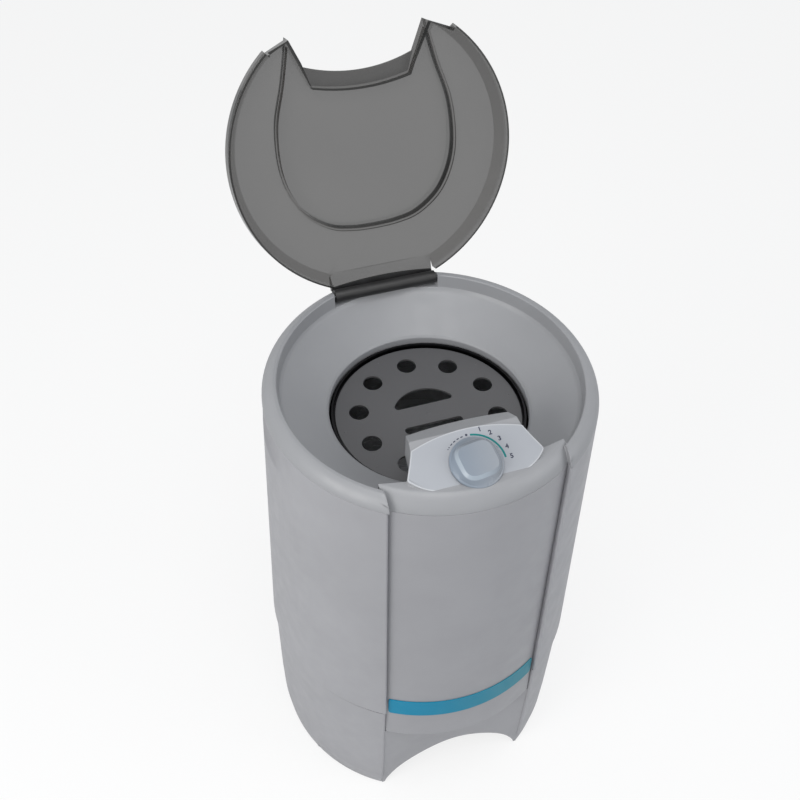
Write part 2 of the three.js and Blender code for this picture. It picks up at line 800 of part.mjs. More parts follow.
function topDeck() {
  const gap = panelHalfWidth + wall;
  const ribInner = deckRibRadius - wall;
  const rib = ring(ribInner, deckRibRadius, deckRibZ, deckWallZ);
  const skirtOuter = rimRadius - deckSkirtGap;
  const skirtInner = skirtOuter - wall;
  const gripRoom = gripHalfLength + wall;
  const skirt = ring(skirtInner, skirtOuter, rimZ - deckSkirtDrop, rimZ + wall)
    .subtract(block(-reach, reach, -gripRoom, gripRoom, 0, farReach))
    .subtract(block(-gap - overrun, gap + overrun, -reach, 0, 0, farReach));
  const deckPlan = [
    [gap, -reach],
    [gap, ledgeY(gap)],
    [panelHalfWidth * ledgeShare, ledgeY(panelHalfWidth * ledgeShare)],
    [-panelHalfWidth * ledgeShare, ledgeY(panelHalfWidth * ledgeShare)],
    [-gap, ledgeY(gap)],
    [-gap, -reach],
  ];
  const rimShell = turnedShell(rimLine, wall);
  const rimFloorZ = notchZ - wall;
  const rimUnder = [
    [deckWallRadius, rimFloorZ],
    [skirtOuter, rimFloorZ],
    [skirtOuter, rimZ],
  ];
  const rimSolid = turned([...rimLine.slice(0, -funnelLine.length), ...rimUnder]);
  const overDeck = prism(deckPlan, 0, farReach);
  const endPlate = rimSolid.intersect(block(panelHalfWidth, gap, -reach, 0, rimZ, farReach));
  const funnelOnly = ring(0, funnelTopRadius, 0, farReach);
  const frontSlab = block(-panelHalfWidth, panelHalfWidth, -reach, 0, 0, farReach)
    .intersect(overDeck)
    .subtract(funnelOnly);
  const bodyOutline = [
    [0, lipZ],
    [funnelFootRadius, lipZ - wall / 2],
    [funnelTopRadius, funnelTopZ - wall / 2],
    [funnelTopRadius, frontRimZ],
    ...frontBevel,
    [0, crestZ],
  ];
  const beforePanel = block(-panelHalfWidth + seat, panelHalfWidth - seat, -reach, 0, 0, farReach);
  const aboveRim = block(-gap, gap, -reach, 0, rimZ, farReach);
  const front = turned(bodyOutline)
    .intersect(overDeck)
    .intersect(beforePanel.add(aboveRim))
    .add(endPlate)
    .add(endPlate.mirror([1, 0, 0]));
  const innerBevel = beside(frontBevel, wall);
  const hollowOutline = [
    [0, frontRimZ - overrun - filletDrop],
    [frontRimRadius - wall, frontRimZ - overrun - filletDrop],
    ...innerBevel,
    [0, crestZ - wall],
  ];
  const funnelBowl = turned([...slopeLine, [0, lipZ], [0, funnelTopZ]]);
  const aboveFunnel = turned(hollowOutline).subtract(funnelBowl);
  const innerPlan = drawnIn(deckPlan, wall);
  const withinPlan = prism(innerPlan, 0, farReach);
  const podOuter = podBody(podPlan, podFloorZ, seat + dialPlate);
  const podInnerPlan = drawnIn(podPlan, wall);
  const podInner = podBody(podInnerPlan, podFloorZ + wall, seat + dialPlate + wall);
  const funnelVoid = turned([...slopeLine, [0, lipZ - lipRound], [0, farReach], [funnelTopRadius, farReach]]);
  const hollow = aboveFunnel.intersect(withinPlan).add(podInner.intersect(funnelVoid.add(withinPlan)));
  let deck = rimShell.add(rib).subtract(frontSlab).add(front).add(podOuter).add(skirt);
  const underFront = ring(funnelTopRadius + wall, frontRimRadius - wall, 0, frontRimZ + overlap)
    .intersect(withinPlan);
  const cabinetRoom = ring(skirtOuter, rimRadius + overrun, 0, rimZ).subtract(beforePanel);
  deck = deck.subtract(hollow).subtract(underFront).subtract(faceRoom()).subtract(cabinetRoom);
  const notchSide = notchHalf + wall;
  const notchBox = block(-notchSide, notchSide, notchFrontY, notchBackY + wall + wall, 0, farReach);
  const notch = block(-notchHalf, notchHalf, notchFrontY, notchBackY, notchZ, farReach);
  deck = deck.add(notchBox.intersect(rimSolid)).subtract(notch);
  const bossFront = hingeY - hingeBossHalf;
  const bossBack = hingeY + hingeBossHalf;
  const boss = block(notchHalf, notchHalf + pinGrip, bossFront, bossBack, notchZ - wall, farReach);
  const bosses = boss.add(boss.mirror([1, 0, 0])).intersect(rimSolid);
  deck = deck.add(bosses);
  const pinEnd = notchHalf + pinReach;
  deck = deck.subtract(rodAlongX(-pinEnd, pinEnd, hingeY, hingeZ, pinRadius + seat));
  const tilt = Math.atan(faceSlope);
  const shaftHole = new THREE.CylinderGeometry(timerBush(), timerBush(), timerThick + timerThick, midSides);
  shaftHole.rotateX(quarter).rotateX(tilt).translate(0, dialY, faceZ(dialY));
  deck = deck.subtract(solid(shaftHole));
  deck = deck.subtract(rod(switchX, switchY, notchZ - wall - overrun, farReach, plungerRadius + run));
  const [cableX, cableY] = brakeCableRoute[0];
  return deck.subtract(rod(cableX, cableY, notchZ - wall - overrun, farReach, cableRadius + run));
}

function timerBush() {
  return timerShaftRadius + run + run;
}

// Timer, dial plate and knob, drawn flat and then tilted with the face
function dialPlateBody() {
  const stretch = Math.hypot(1, faceSlope);
  const plan = drawnIn(facePlan, run).map(([x, y]) => [x, (y - dialY) * stretch]);
  return prism(plan, -dialPlate, 0).subtract(rod(0, 0, -overrun, overrun, timerBush(), midSides));
}

function timerBody() {
  const top = -dialPlate - seat - wall - seat;
  const foot = top - timerThick;
  const well = rod(0, 0, foot + timerThick / 2, top + overrun, timerShaftRadius + run, midSides);
  return block(-timerHalfWidth, timerHalfWidth, -timerHalfDepth, timerHalfDepth, foot, top).subtract(well);
}

function timerShaft() {
  const foot = -dialPlate - seat - wall - seat - timerThick / 2 + seat;
  return rod(0, 0, foot, timerShaftUp - seat - seat, timerShaftRadius, midSides);
}

function timerKnob() {
  const skirtOutline = [
    [0, run],
    [knobRadius, run],
    [knobRadius, run + knobSkirt],
    [knobRadius - knobSkirt, run + knobSkirt + knobShoulder],
    [0, run + knobSkirt + knobShoulder],
  ];
  const crown = (halfX, halfY) => {
    const corner = halfY / 2;
    return [
      [halfX, -halfY + corner],
      [halfX, halfY - corner],
      [halfX - corner, halfY],
      [corner - halfX, halfY],
      [-halfX, halfY - corner],
      [-halfX, corner - halfY],
      [corner - halfX, -halfY],
      [halfX - corner, -halfY],
    ];
  };
  const spread = knobSkirt - knobShoulder;
  const lowCrown = crown(knobCrownLong + spread, knobCrownShort + spread);
  const low = prism(lowCrown, run + overlap, (knobHeight + knobSkirt) / 2);
  const high = prism(crown(knobCrownLong, knobCrownShort), run + overlap, knobHeight);
  return turned(skirtOutline, motorSides)
    .add(low)
    .add(high)
    .subtract(rod(0, 0, -overrun, timerShaftUp, timerShaftRadius + seat, midSides));
}

// Lid, drawn closed and about its own hinge line
function lidOutline(lip) {
  const start = Math.atan2(overlap - lidStepY, lidStepX);
  const round = lip ? lidEdgeRadius + overlap : lidEdgeRadius - lidWall;
  const sweep = Array.from({ length: roundSides + 1 }, (_, i) => {
    const angle = between(-start, Math.PI + start, i / roundSides);
    return [round * Math.cos(angle), round * Math.sin(angle)];
  });
  const horn = lip ? 0 : lidWall;
  const lipBow = bow(lidLipCornerX, lidLipCornerY, lidLipMidY);
  const cut = lip ? lipBow : bow(lidCutCornerX, lidCutCornerY, lidCutMidY);
  const edge = cut.map(([x, y]) => [x, y + horn]);
  return [
    ...sweep,
    [-lidStepX + horn, lidStepY + horn],
    [-lidHornX - horn, lidHornY + horn],
    ...edge.reverse(),
    [lidHornX + horn, lidHornY + horn],
    [lidStepX - horn, lidStepY + horn],
  ];
}

function lidShell() {
  const tabBack = lidEdgeRadius;
  const line = [
    [lidSkirtRadius, lidSkirtZ],
    [lidEdgeRadius, lidEdgeZ],
    [lidBandRadius, lidBandZ],
    [lidPanelHalfWidth, lidRingZ],
    [0, lidRingZ],
  ];
  const outerDome = turned([[0, lidSkirtZ], ...line]);
  const innerLine = beside(line, lidWall);
  innerLine[0][1] = lidSkirtZ - overrun;
  innerLine[innerLine.length - 1][0] = 0;
  const innerDome = turned([[0, lidSkirtZ - overrun], ...innerLine]);
  const half = lidPanelShares.map(([x, y]) => [lidPanelHalfWidth * x, lidPanelLength * y]);
  const panelPlan = [...half, ...mirrored(half).slice(1)];
  const raised = prism(panelPlan, lidBandZ - lidWall, lidPanelZ);
  const raisedInner = prism(drawnIn(panelPlan, lidWall), lidSkirtZ - overrun, lidPanelZ - lidWall);
  const tabTop = lidEdgeZ;
  const tabFront = Math.sqrt(lidBandRadius * lidBandRadius - lidTabHalf * lidTabHalf) - overrun;
  const tab = block(-lidTabHalf, lidTabHalf, tabFront, tabBack, lidEdgeZ - lidWall, tabTop)
    .add(block(-lidTabHalf, lidTabHalf, tabBack - lidWall, tabBack, hingeZ, tabTop));
  const barrel = rodAlongX(-lidTabHalf, lidTabHalf, hingeY, hingeZ, barrelRadius, midSides);
  const pinHole = pinGrip + seat;
  let lid = outerDome.add(raised).intersect(prism(lidOutline(true), 0, farReach));
  const room = innerDome.add(raisedInner).intersect(prism(lidOutline(false), 0, farReach));
  lid = lid.subtract(room);
  const underLip = [
    ...bow(lidCutCornerX, lidCutCornerY, lidCutMidY),
    [-lidHornX + lidWall, lidHornY - overlap],
    [lidHornX - lidWall, lidHornY - overlap],
  ];
  lid = lid.subtract(prism(underLip, 0, lidPanelZ - lidWall));
  const stepHalf = lidStepX - lidWall;
  const cutBack = lidCutMidY + lidWall + overrun;
  lid = lid.subtract(block(-stepHalf, stepHalf, -reach, lidStepY + lidWall, 0, lidHornFootZ));
  lid = lid.subtract(block(-lidHornX, lidHornX, lidLipCornerY, cutBack, 0, lidCutFootZ));
  lid = lid.add(tab).add(barrel);
  const hole = rodAlongX(lidTabHalf - pinHole, lidTabHalf + overrun, hingeY, hingeZ, pinRadius + seat);
  lid = lid.subtract(hole).subtract(hole.mirror([1, 0, 0]));
  return lid.translate([0, -hingeY, -hingeZ]);
}

function hingePin(side) {
  const pin = rodAlongX(lidTabHalf - pinGrip + seat, notchHalf + pinReach - seat, hingeY, hingeZ, pinRadius);
  return side > 0 ? pin : pin.mirror([1, 0, 0]);
}

// Outer tub that catches the water, with its neck, legs and drain
function outerTub() {
  const outline = [
    [tubRadius, tubFootZ],
    [tubRadius, tubTopZ],
    [tubRadius - wall, tubTopZ],
    [tubRadius - wall, tubFootZ + wall],
    [tubNeckRadius, tubFootZ + wall],
    [tubNeckRadius, tubNeckTopZ],
    [tubNeckBore, tubNeckTopZ],
    [tubNeckBore, tubFootZ],
  ];
  let tub = turned(outline);
  for (const angle of legAngles) {
    const [x, y] = onCircle(tubLegCircle, angle);
    tub = tub.add(rod(x, y, platformTopZ + seat, tubFootZ + overlap, tubLegRadius));
  }
  tub = tub.add(rod(0, drainY, drainNeckZ, tubFootZ + overlap, drainBore + drainWall, midSides));
  return tub.subtract(rod(0, drainY, 0, tubFootZ + wall + overrun, drainBore, midSides));
}

function tubGasket() {
  const middle = tubRadius - wall / 2 - seat;
  return ring(middle - gasketWidth / 2, middle + gasketWidth / 2, tubTopZ + seat, deckRibZ - seat);
}

function drainSpout() {
  const inner = drainBore + drainWall + seat;
  const top = tubFootZ - seat;
  return ring(inner, inner + drainWall, spoutFootZ, top, midSides).translate([0, drainY, 0]);
}

function shaftSeal() {
  const foot = tubFootZ + wall;
  return ring(shaftRadius + run, tubNeckBore - seat, foot, foot + hubThick, midSides);
}

// Basket with its sieve holes, ledge and narrow mouth
function basketBody() {
  const floorTop = basketFootZ + basketWall;
  const mouthInner = mouthRadius - mouthWall;
  const ledgeTop = discFootZ - seat;
  const inside = basketRadius - basketWall;
  const insideRound = basketFootRound - basketRoundLess;
  const outline = [
    [bearingBore, basketFootZ],
    [basketRadius - basketFootRound, basketFootZ],
    [basketRadius, basketFootZ + basketFootRound],
    [basketRadius, basketShoulderZ],
    [mouthRadius, mouthFootZ],
    [mouthRadius, mouthTopZ],
    [mouthInner, mouthTopZ],
    [mouthInner, ledgeTop],
    [mouthInner - mouthLedge, ledgeTop],
    [mouthInner - mouthLedge, ledgeTop - basketWall],
    [mouthInner, ledgeTop - basketWall],
    [inside, basketShoulderZ - basketRoundLess],
    [inside, floorTop + insideRound],
    [inside - insideRound, floorTop],
    [bearingBore, floorTop],
  ];
  let basket = turned(outline);
  for (let row = 1; row <= sieveRows; row++) {
    const z = between(basketFootZ, basketShoulderZ, row / (sieveRows + 1));
    for (let way = 0; way < sieveDirections; way++) {
      const angle = (Math.PI * (way + (row % 2) / 2)) / sieveDirections;
      const drill = new THREE.CylinderGeometry(sieveRadius, sieveRadius, reach, hexSides);
      basket = basket.subtract(solid(drill.rotateZ(angle).translate(0, 0, z)));
    }
  }
  return basket;
}

function basketCover() {
  let disc = ring(0, discRadius, discFootZ, discFootZ + discThick);
  for (let i = 0; i < discHoles; i++) {
    const [x, y] = onCircle(discHoleCircle, discHolePhase + (fullTurn * i) / discHoles);
    disc = disc.subtract(rod(x, y, 0, farReach, discHoleRadius, midSides));
  }
  const slot = prism(bow(slotHalf, slotEdgeY, slotEdgeY + slotRise), 0, farReach);
  return disc.subtract(slot).subtract(slot.mirror([0, 1, 0]));
}

function basketHub() {
  const foot = basketFootZ - seat - hubThick;
  return ring(bearingBore, hubRadius, foot, basketFootZ - seat, midSides);
}

function hubNut() {
  const foot = basketFootZ + basketWall + seat;
  const nut = rod(0, 0, foot, foot + nutHeight, nutRadius, hexSides);
  return nut.subtract(rod(0, 0, 0, reach, bearingBore, midSides));
}

function driveShaft() {
  return rod(0, 0, shaftFootZ, shaftTopZ, shaftRadius, midSides);
}

// Motor: can, lower end bell, stator, rotor, bearings and fan
function motorHousing() {
  const top = plateZ - seat;
  const seatRadius = upperBearingRadius + seat;
  const outline = [
    [motorRadius, motorFootZ],
    [motorRadius, top - wall],
    [motorRadius + motorFlange, top - wall],
    [motorRadius + motorFlange, top],
    [seatRadius, top],
    [seatRadius, upperBearingZ - seat],
    [seatRadius - wall - wall, upperBearingZ - seat],
    [seatRadius - wall - wall, upperBearingZ - wall],
    [seatRadius + wall, upperBearingZ - wall],
    [seatRadius + wall, top - wall],
    [motorRadius - motorWall, top - wall],
    [motorRadius - motorWall, motorFootZ],
  ];
  return turned(outline, motorSides);
}

function motorEndBell() {
  const top = motorFootZ - seat;
  const seatRadius = lowerBearingRadius + seat;
  const outline = [
    [motorRadius / 2, bellFootZ],
    [motorRadius, top - wall],
    [motorRadius, top],
    [motorRadius / 2, bellFootZ + wall],
    [seatRadius + wall, bellFootZ + wall],
    [seatRadius + wall, lowerBearingZ + bearingThick],
    [seatRadius, lowerBearingZ + bearingThick],
    [seatRadius, lowerBearingZ - seat],
    [seatRadius - wall, lowerBearingZ - seat],
    [seatRadius - wall, bellFootZ],
  ];
  return turned(outline, motorSides);
}

function stator() {
  return ring(statorBore, motorRadius - motorWall - seat, statorFootZ, statorTopZ, motorSides);
}

function rotor() {
  return ring(shaftRadius + seat, statorBore - run - run, rotorFootZ, rotorTopZ, midSides);
}

function bearing(radius, foot) {
  return ring(bearingBore, radius, foot, foot + bearingThick, midSides);
}

function coolingFan() {
  let fan = ring(bearingBore, fanRadius, fanZ, fanZ + fanThick, midSides);
  const half = fanThick / 2;
  const blade = block(fanHub + fanThick, fanRadius - fanThick, -half, half, fanZ, fanZ + fanBladeHeight);
  for (let i = 0; i < fanBlades; i++) {
    fan = fan.add(blade.rotate([0, 0, (fullTurn * i) / fanBlades]));
  }
  return fan;
}

function motorPlate() {
  let plate = ring(drumRadius + plateBoreRoom, plateRadius, plateZ, plateZ + plateThick);
  for (const angle of mountAngles) {
    const arm = block(motorRadius, plateArmRadius, -plateArmHalf, plateArmHalf, plateZ, plateZ + plateThick);
    plate = plate.add(arm.rotate([0, 0, angle]));
    const [x, y] = onCircle(mountCircle, angle);
    plate = plate.subtract(rod(x, y, 0, reach, boltRadius + seat));
  }
  const pivot = rod(leverX, leverPivotY, 0, reach, pivotRadius + seat);
  return plate.subtract(pivot);
}

function rubberMount(angle) {
  const mount = ring(boltRadius + seat, mountRadius, platformTopZ + seat, plateZ - seat, midSides);
  return mount.translate([...onCircle(mountCircle, angle), 0]);
}

function mountBolt(angle) {
  const [x, y] = onCircle(mountCircle, angle);
  const headFoot = plateZ + plateThick + seat;
  const shank = rod(x, y, platformTopZ - boltTail, headFoot + overlap, boltRadius);
  return shank.add(rod(x, y, headFoot, headFoot + boltHead, boltHeadRadius, hexSides));
}

// Brake: drum on the shaft, lever with its pad on the motor plate
function brakeDrum() {
  const top = drumZ + drumHeight;
  const outline = [
    [bearingBore, drumZ],
    [shaftRadius + drumWall + drumWall, drumZ],
    [shaftRadius + drumWall + drumWall, top - drumWall],
    [drumRadius - drumWall, top - drumWall],
    [drumRadius - drumWall, drumZ],
    [drumRadius, drumZ],
    [drumRadius, top],
    [bearingBore, top],
  ];
  return turned(outline, motorSides);
}

function brakeLever() {
  const top = leverZ + leverThick;
  const bar = block(leverX - leverHalf, leverX + leverHalf, leverPivotY, leverEndY, leverZ, top);
  const eye = rod(leverX, leverPivotY, leverZ, top, leverHalf, midSides);
  const tip = rod(leverX, leverEndY, leverZ, top, leverHalf, midSides);
  return bar.add(eye).add(tip).subtract(rod(leverX, leverPivotY, 0, reach, pivotRadius + seat));
}

function brakePad() {
  const back = leverX - leverHalf - seat;
  const front = drumRadius + run;
  return block(front, back, -padHalf, padHalf, leverZ - padOver, leverZ + leverThick + padOver);
}

function brakeBracket() {
  const foot = plateZ + plateThick + seat;
  const lean = cableStopX + cableStopHalf - leverX;
  const length = cableStopY - leverPivotY;
  const plan = [
    [leverX - bracketHalf, leverPivotY - bracketHalf],
    [leverX + bracketHalf, leverPivotY - bracketHalf],
    [leverX + lean + cableStopHalf, cableStopY + cableStopHalf],
    [leverX + lean - cableStopHalf, cableStopY + cableStopHalf],
    [leverX - bracketHalf + lean / 2, leverPivotY + length / 2],
  ];
  const strip = prism(plan, foot, foot + bracketThick);
  const stopEnd = cableStopX + cableStopHalf + cableStopHalf;
  const stopFront = cableStopY - cableStopHalf;
  const stop = block(cableStopX, stopEnd, stopFront, cableStopY + cableStopHalf, foot, cableStopTopZ);
  const boreZ = leverZ + leverThick / 2;
  const bore = rodAlongX(cableStopX - overrun, stopEnd + overrun, cableStopY, boreZ, cableRadius + run);
  return strip.add(stop).subtract(bore).subtract(rod(leverX, leverPivotY, 0, reach, pivotRadius + seat));
}

function brakePivotPin() {
  const top = leverZ + leverThick + springHeight + run + run;
  const shank = rod(leverX, leverPivotY, plateZ, top + overlap, pivotRadius);
  return shank.add(rod(leverX, leverPivotY, top, top + wall, pivotRadius + wall, midSides));
}

function brakeSpring() {
  const foot = leverZ + leverThick + run;
  const coil = ring(pivotRadius + seat, pivotRadius + springWall, foot, foot + springHeight, midSides);
  return coil.translate([leverX, leverPivotY, 0]);
}

// Electrical parts
function capacitorBody() {
  const top = capacitorFootZ + capacitorHeight;
  return rod(capacitorX, capacitorY, capacitorFootZ, top, capacitorRadius, midSides);
}

function capacitorClamp() {
  const inner = capacitorRadius + seat;
  const outer = inner + clampThick;
  const underside = platformTopZ - platformThick - seat;
  const band = ring(inner, outer, clampZ, clampZ + clampHeight, midSides);
  const front = outer - clampThick / 2;
  const strap = block(-clampHalf, clampHalf, front, front + clampThick, clampZ, underside);
  const tongueEnd = front + clampHalf + clampHalf;
  const tongue = block(-clampHalf, clampHalf, front, tongueEnd, underside - clampThick, underside);
  return band.add(strap).add(tongue).translate([capacitorX, capacitorY, 0]);
}

function cordGland() {
  const face = skirtRadiusAt(glandZ);
  const tube = rodAlongY(0, face - wall - overrun, face + seat + overlap, glandZ, glandRadius, midSides);
  const collar = rodAlongY(0, face + seat, face + seat + glandCollarThick, glandZ, glandCollar, midSides);
  const bore = rodAlongY(0, 0, reach, glandZ, glandRadius / 2, midSides);
  return tube.add(collar).subtract(bore);
}

function skirtRadiusAt(z) {
  return between(skirtMidRadius, skirtTopRadius, (z - skirtMidZ) / (shoulderZ - skirtMidZ));
}

function lidSwitchBody() {
  const top = notchZ - wall - seat;
  const foot = top - switchHeight;
  const bore = rod(0, 0, foot + wall, farReach, plungerRadius + seat);
  return block(-switchHalfLength, switchHalfLength, -switchHalfWidth, switchHalfWidth, foot, top)
    .subtract(bore)
    .translate([switchX, switchY, 0]);
}

function switchPlunger() {
  const foot = notchZ - wall - switchHeight + wall;
  return rod(switchX, switchY, foot, plungerRestZ, plungerRadius);
}

function rubberFoot(angle) {
  const [x, y] = onCircle(footCircle, angle);
  return rod(x, y, 0, footRingZ - seat, footRadius, midSides);
}

function bottomCover() {
  const top = footRingZ - seat;
  let plate = ring(0, coverPlateRadius, coverPlateZ, top).intersect(
    block(-reach, reach, bayRearY + seat, reach, 0, reach),
  );
  for (const angle of coverScrewAngles) {
    const [x, y] = onCircle(coverScrewCircle, angle);
    plate = plate.subtract(rod(x, y, 0, reach, screwRadius + seat));
  }
  return plate;
}

function coverScrew(angle) {
  const [x, y] = onCircle(coverScrewCircle, angle);
  const headTop = coverPlateZ - seat;
  const shank = rod(x, y, headTop - overlap, footRingZ + wall, screwRadius);
  return shank.add(rod(x, y, headTop - screwHead, headTop, screwHeadRadius));
}

// Finishes of the pieces
const finish = (color, roughness, metalness = 0) =>
  new THREE.MeshStandardMaterial({ color, roughness, metalness });
const greyBody = finish("#96969b", 0.45);
const greyPanel = finish("#929297", 0.45);
const bandBlue = finish("#2391b9", 0.35);
const facePale = finish("#bec1c8", 0.35);
const knobGrey = finish("#96a0aa", 0.35);
const smoke = finish("#767573", 0.15);
const discDark = finish("#555557", 0.5);
const steel = finish("#b4b6b8", 0.3, 1);
const tubWhite = finish("#c9cccd", 0.5);
const castGrey = finish("#8a8d8f", 0.5, 0.8);
const copperBrown = finish("#8a5a3a", 0.5, 0.4);
const blackRubber = finish("#222224", 0.85);
const blackPlastic = finish("#2c2c2e", 0.5);
const zinc = finish("#a9abad", 0.35, 1);
const padLining = finish("#4a4038", 0.9);

const part = new THREE.Group();

function add(name, made, material, parent = part) {
  const { vertProperties, triVerts } = made.getMesh();
  const geometry = new THREE.BufferGeometry();
  geometry.setAttribute("position", new THREE.BufferAttribute(new Float32Array(vertProperties), 3));
  geometry.setIndex(new THREE.BufferAttribute(new Uint32Array(triVerts), 1));
  geometry.computeVertexNormals();
  const mesh = new THREE.Mesh(geometry, material);
  mesh.name = name;
  parent.add(mesh);
}

const consoleGroup = new THREE.Group();
consoleGroup.position.set(0, dialY, faceZ(dialY));
consoleGroup.rotation.x = Math.atan(faceSlope);
const lidGroup = new THREE.Group();
lidGroup.position.set(0, hingeY, hingeZ);
lidGroup.rotation.x = -lidOpenAngle * degree;
part.add(consoleGroup, lidGroup);

add("base_housing", baseHousing(), greyBody);
add("cabinet_shell", cabinetShell(), greyBody);
add("front_panel", frontPanel(), greyPanel);
add("front_band", frontBand(), bandBlue);
add("top_deck", topDeck(), greyBody);
add("dial_plate", dialPlateBody(), facePale, consoleGroup);
add("timer_body", timerBody(), tubWhite, consoleGroup);
add("timer_shaft", timerShaft(), zinc, consoleGroup);
add("timer_knob", timerKnob(), knobGrey, consoleGroup);
add("lid_shell", lidShell(), smoke, lidGroup);
add("hinge_pin_left", hingePin(-1), steel);
add("hinge_pin_right", hingePin(1), steel);
add("outer_tub", outerTub(), tubWhite);
add("tub_gasket", tubGasket(), blackRubber);
add("drain_spout", drainSpout(), blackPlastic);
add("shaft_seal", shaftSeal(), blackRubber);
add("basket", basketBody(), steel);
add("basket_cover", basketCover(), discDark);
add("basket_hub", basketHub(), castGrey);
add("hub_nut", hubNut(), zinc);
add("drive_shaft", driveShaft(), steel);
add("rotor", rotor(), steel);
add("cooling_fan", coolingFan(), blackPlastic);
add("brake_drum", brakeDrum(), castGrey);
add("motor_housing", motorHousing(), castGrey);
add("motor_end_bell", motorEndBell(), castGrey);
add("stator", stator(), copperBrown);
add("upper_bearing", bearing(upperBearingRadius, upperBearingZ), steel);
add("lower_bearing", bearing(lowerBearingRadius, lowerBearingZ), steel);
add("motor_plate", motorPlate(), zinc);
mountAngles.forEach((angle, i) => {
  add(`rubber_mount_${i + 1}`, rubberMount(angle), blackRubber);
  add(`mount_bolt_${i + 1}`, mountBolt(angle), zinc);
});
add("brake_bracket", brakeBracket(), zinc);
add("brake_pivot_pin", brakePivotPin(), steel);
add("brake_spring", brakeSpring(), steel);
add("brake_lever", brakeLever(), zinc);
add("brake_pad", brakePad(), padLining);
add("brake_cable", tubeAlong(brakeCableRoute, cableRadius), blackPlastic);
add("capacitor", capacitorBody(), tubWhite);
add("capacitor_clamp", capacitorClamp(), zinc);
add("wiring_harness", tubeAlong(harnessRoute, harnessRadius), blackPlastic);
add("cord_gland", cordGland(), blackPlastic);
add("lid_switch_body", lidSwitchBody(), blackPlastic);
add("switch_plunger", switchPlunger(), blackPlastic);
footAngles.forEach((angle, i) => add(`rubber_foot_${i + 1}`, rubberFoot(angle), blackRubber));
add("bottom_cover", bottomCover(), blackPlastic);
coverScrewAngles.forEach((angle, i) => add(`cover_screw_${i + 1}`, coverScrew(angle), zinc));

export default part;
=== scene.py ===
# %% [markdown]
# # A spin dryer with its lid standing open
#
# The real object is a moulded grey drum about 0.7 m high. A tinted lid stands open behind it,
# a small console with one knob sits on the front of the deck, and a dark perforated cover lies
# over the basket. This lesson dresses the fixed frame of the machine: the shells that are seen
# are modelled again with finer edges, and everything that is inside keeps its shape and gets a
# proper finish. Lengths of the pieces are written in millimetres and turned into metres by `mm`.

# %% Load the frame of the machine
import math

import bmesh
import bpy
from mathutils import Matrix, Vector


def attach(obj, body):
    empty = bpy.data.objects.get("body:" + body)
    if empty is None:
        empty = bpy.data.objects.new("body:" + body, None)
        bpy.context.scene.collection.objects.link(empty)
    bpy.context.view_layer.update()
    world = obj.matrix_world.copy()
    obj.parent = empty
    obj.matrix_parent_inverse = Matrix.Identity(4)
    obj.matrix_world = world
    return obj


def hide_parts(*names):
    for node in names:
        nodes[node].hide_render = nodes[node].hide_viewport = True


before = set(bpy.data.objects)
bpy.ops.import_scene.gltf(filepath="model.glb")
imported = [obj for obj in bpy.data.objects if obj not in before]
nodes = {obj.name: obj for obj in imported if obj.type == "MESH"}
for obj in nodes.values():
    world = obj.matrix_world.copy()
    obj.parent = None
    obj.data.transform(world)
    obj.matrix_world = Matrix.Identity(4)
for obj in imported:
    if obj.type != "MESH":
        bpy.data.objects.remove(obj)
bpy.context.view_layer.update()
mm = 0.001

# %% [markdown]
# ## The camera
#
# The view is from above and a little to the left of the front, with a slight roll. A camera looks
# along its own -Z, so its three axes can be written down from two angles and a roll, and a matrix
# of those axes places it with nothing to aim by hand.

# %% Place the camera
azimuth = math.radians(-19.88)
elevation = math.radians(46.73)
roll = math.radians(1.93)
camera_place = (-0.3570, -0.8784, 1.6583)
sensor_width, focal_length = 36, 49.49
nearest, farthest = 0.05, 20
level_share = math.cos(elevation)
back = Vector((math.sin(azimuth) * level_share, -math.cos(azimuth) * level_share, math.sin(elevation)))
level = Vector((math.cos(azimuth), math.sin(azimuth), 0))
upright = back.cross(level)
right = level * math.cos(roll) + upright * math.sin(roll)
up = upright * math.cos(roll) - level * math.sin(roll)
bpy.ops.object.camera_add()
camera = bpy.context.object
camera.name = "photo_camera"
camera.matrix_world = Matrix.Translation(camera_place) @ Matrix((right, up, back)).transposed().to_4x4()
camera.data.sensor_width = sensor_width
camera.data.lens = focal_length
camera.data.clip_start = nearest
camera.data.clip_end = farthest
bpy.context.scene.camera = camera
bpy.context.scene.view_settings.view_transform = "Standard"
print("camera looks along", tuple(round(-v, 3) for v in back))

# %% [markdown]
# ## Node trees
#
# The world, the floor and every finish are node trees. One helper makes a node and sets it up, by
# the names of its settings and sockets, or by socket numbers where names repeat. The other wires
# sockets in pairs, so that a tree reads as a list.

# %% Helpers for node trees
def node(tree, kind, numbered=(), **settings):
    made = tree.nodes.new(kind)
    for key, value in settings.items():
        if hasattr(made, key):
            setattr(made, key, value)
        else:
            made.inputs[key.replace("_", " ")].default_value = value
    for index, value in numbered:
        made.inputs[index].default_value = value
    return made


def wire(tree, *pairs):
    for start, end in zip(pairs[::2], pairs[1::2]):
        tree.links.new(start, end)


print("node helpers are ready")

# %% [markdown]
# ## The studio
#
# The object stands in soft, even light: a large lamp on the left, a weaker one on the right and one
# above. The world gives the shadows a plain grey fill. What the camera, a gloss or a clear plastic
# sees of the world is white, through Light Path, so the background is white and no extra light
# falls on the object for it.

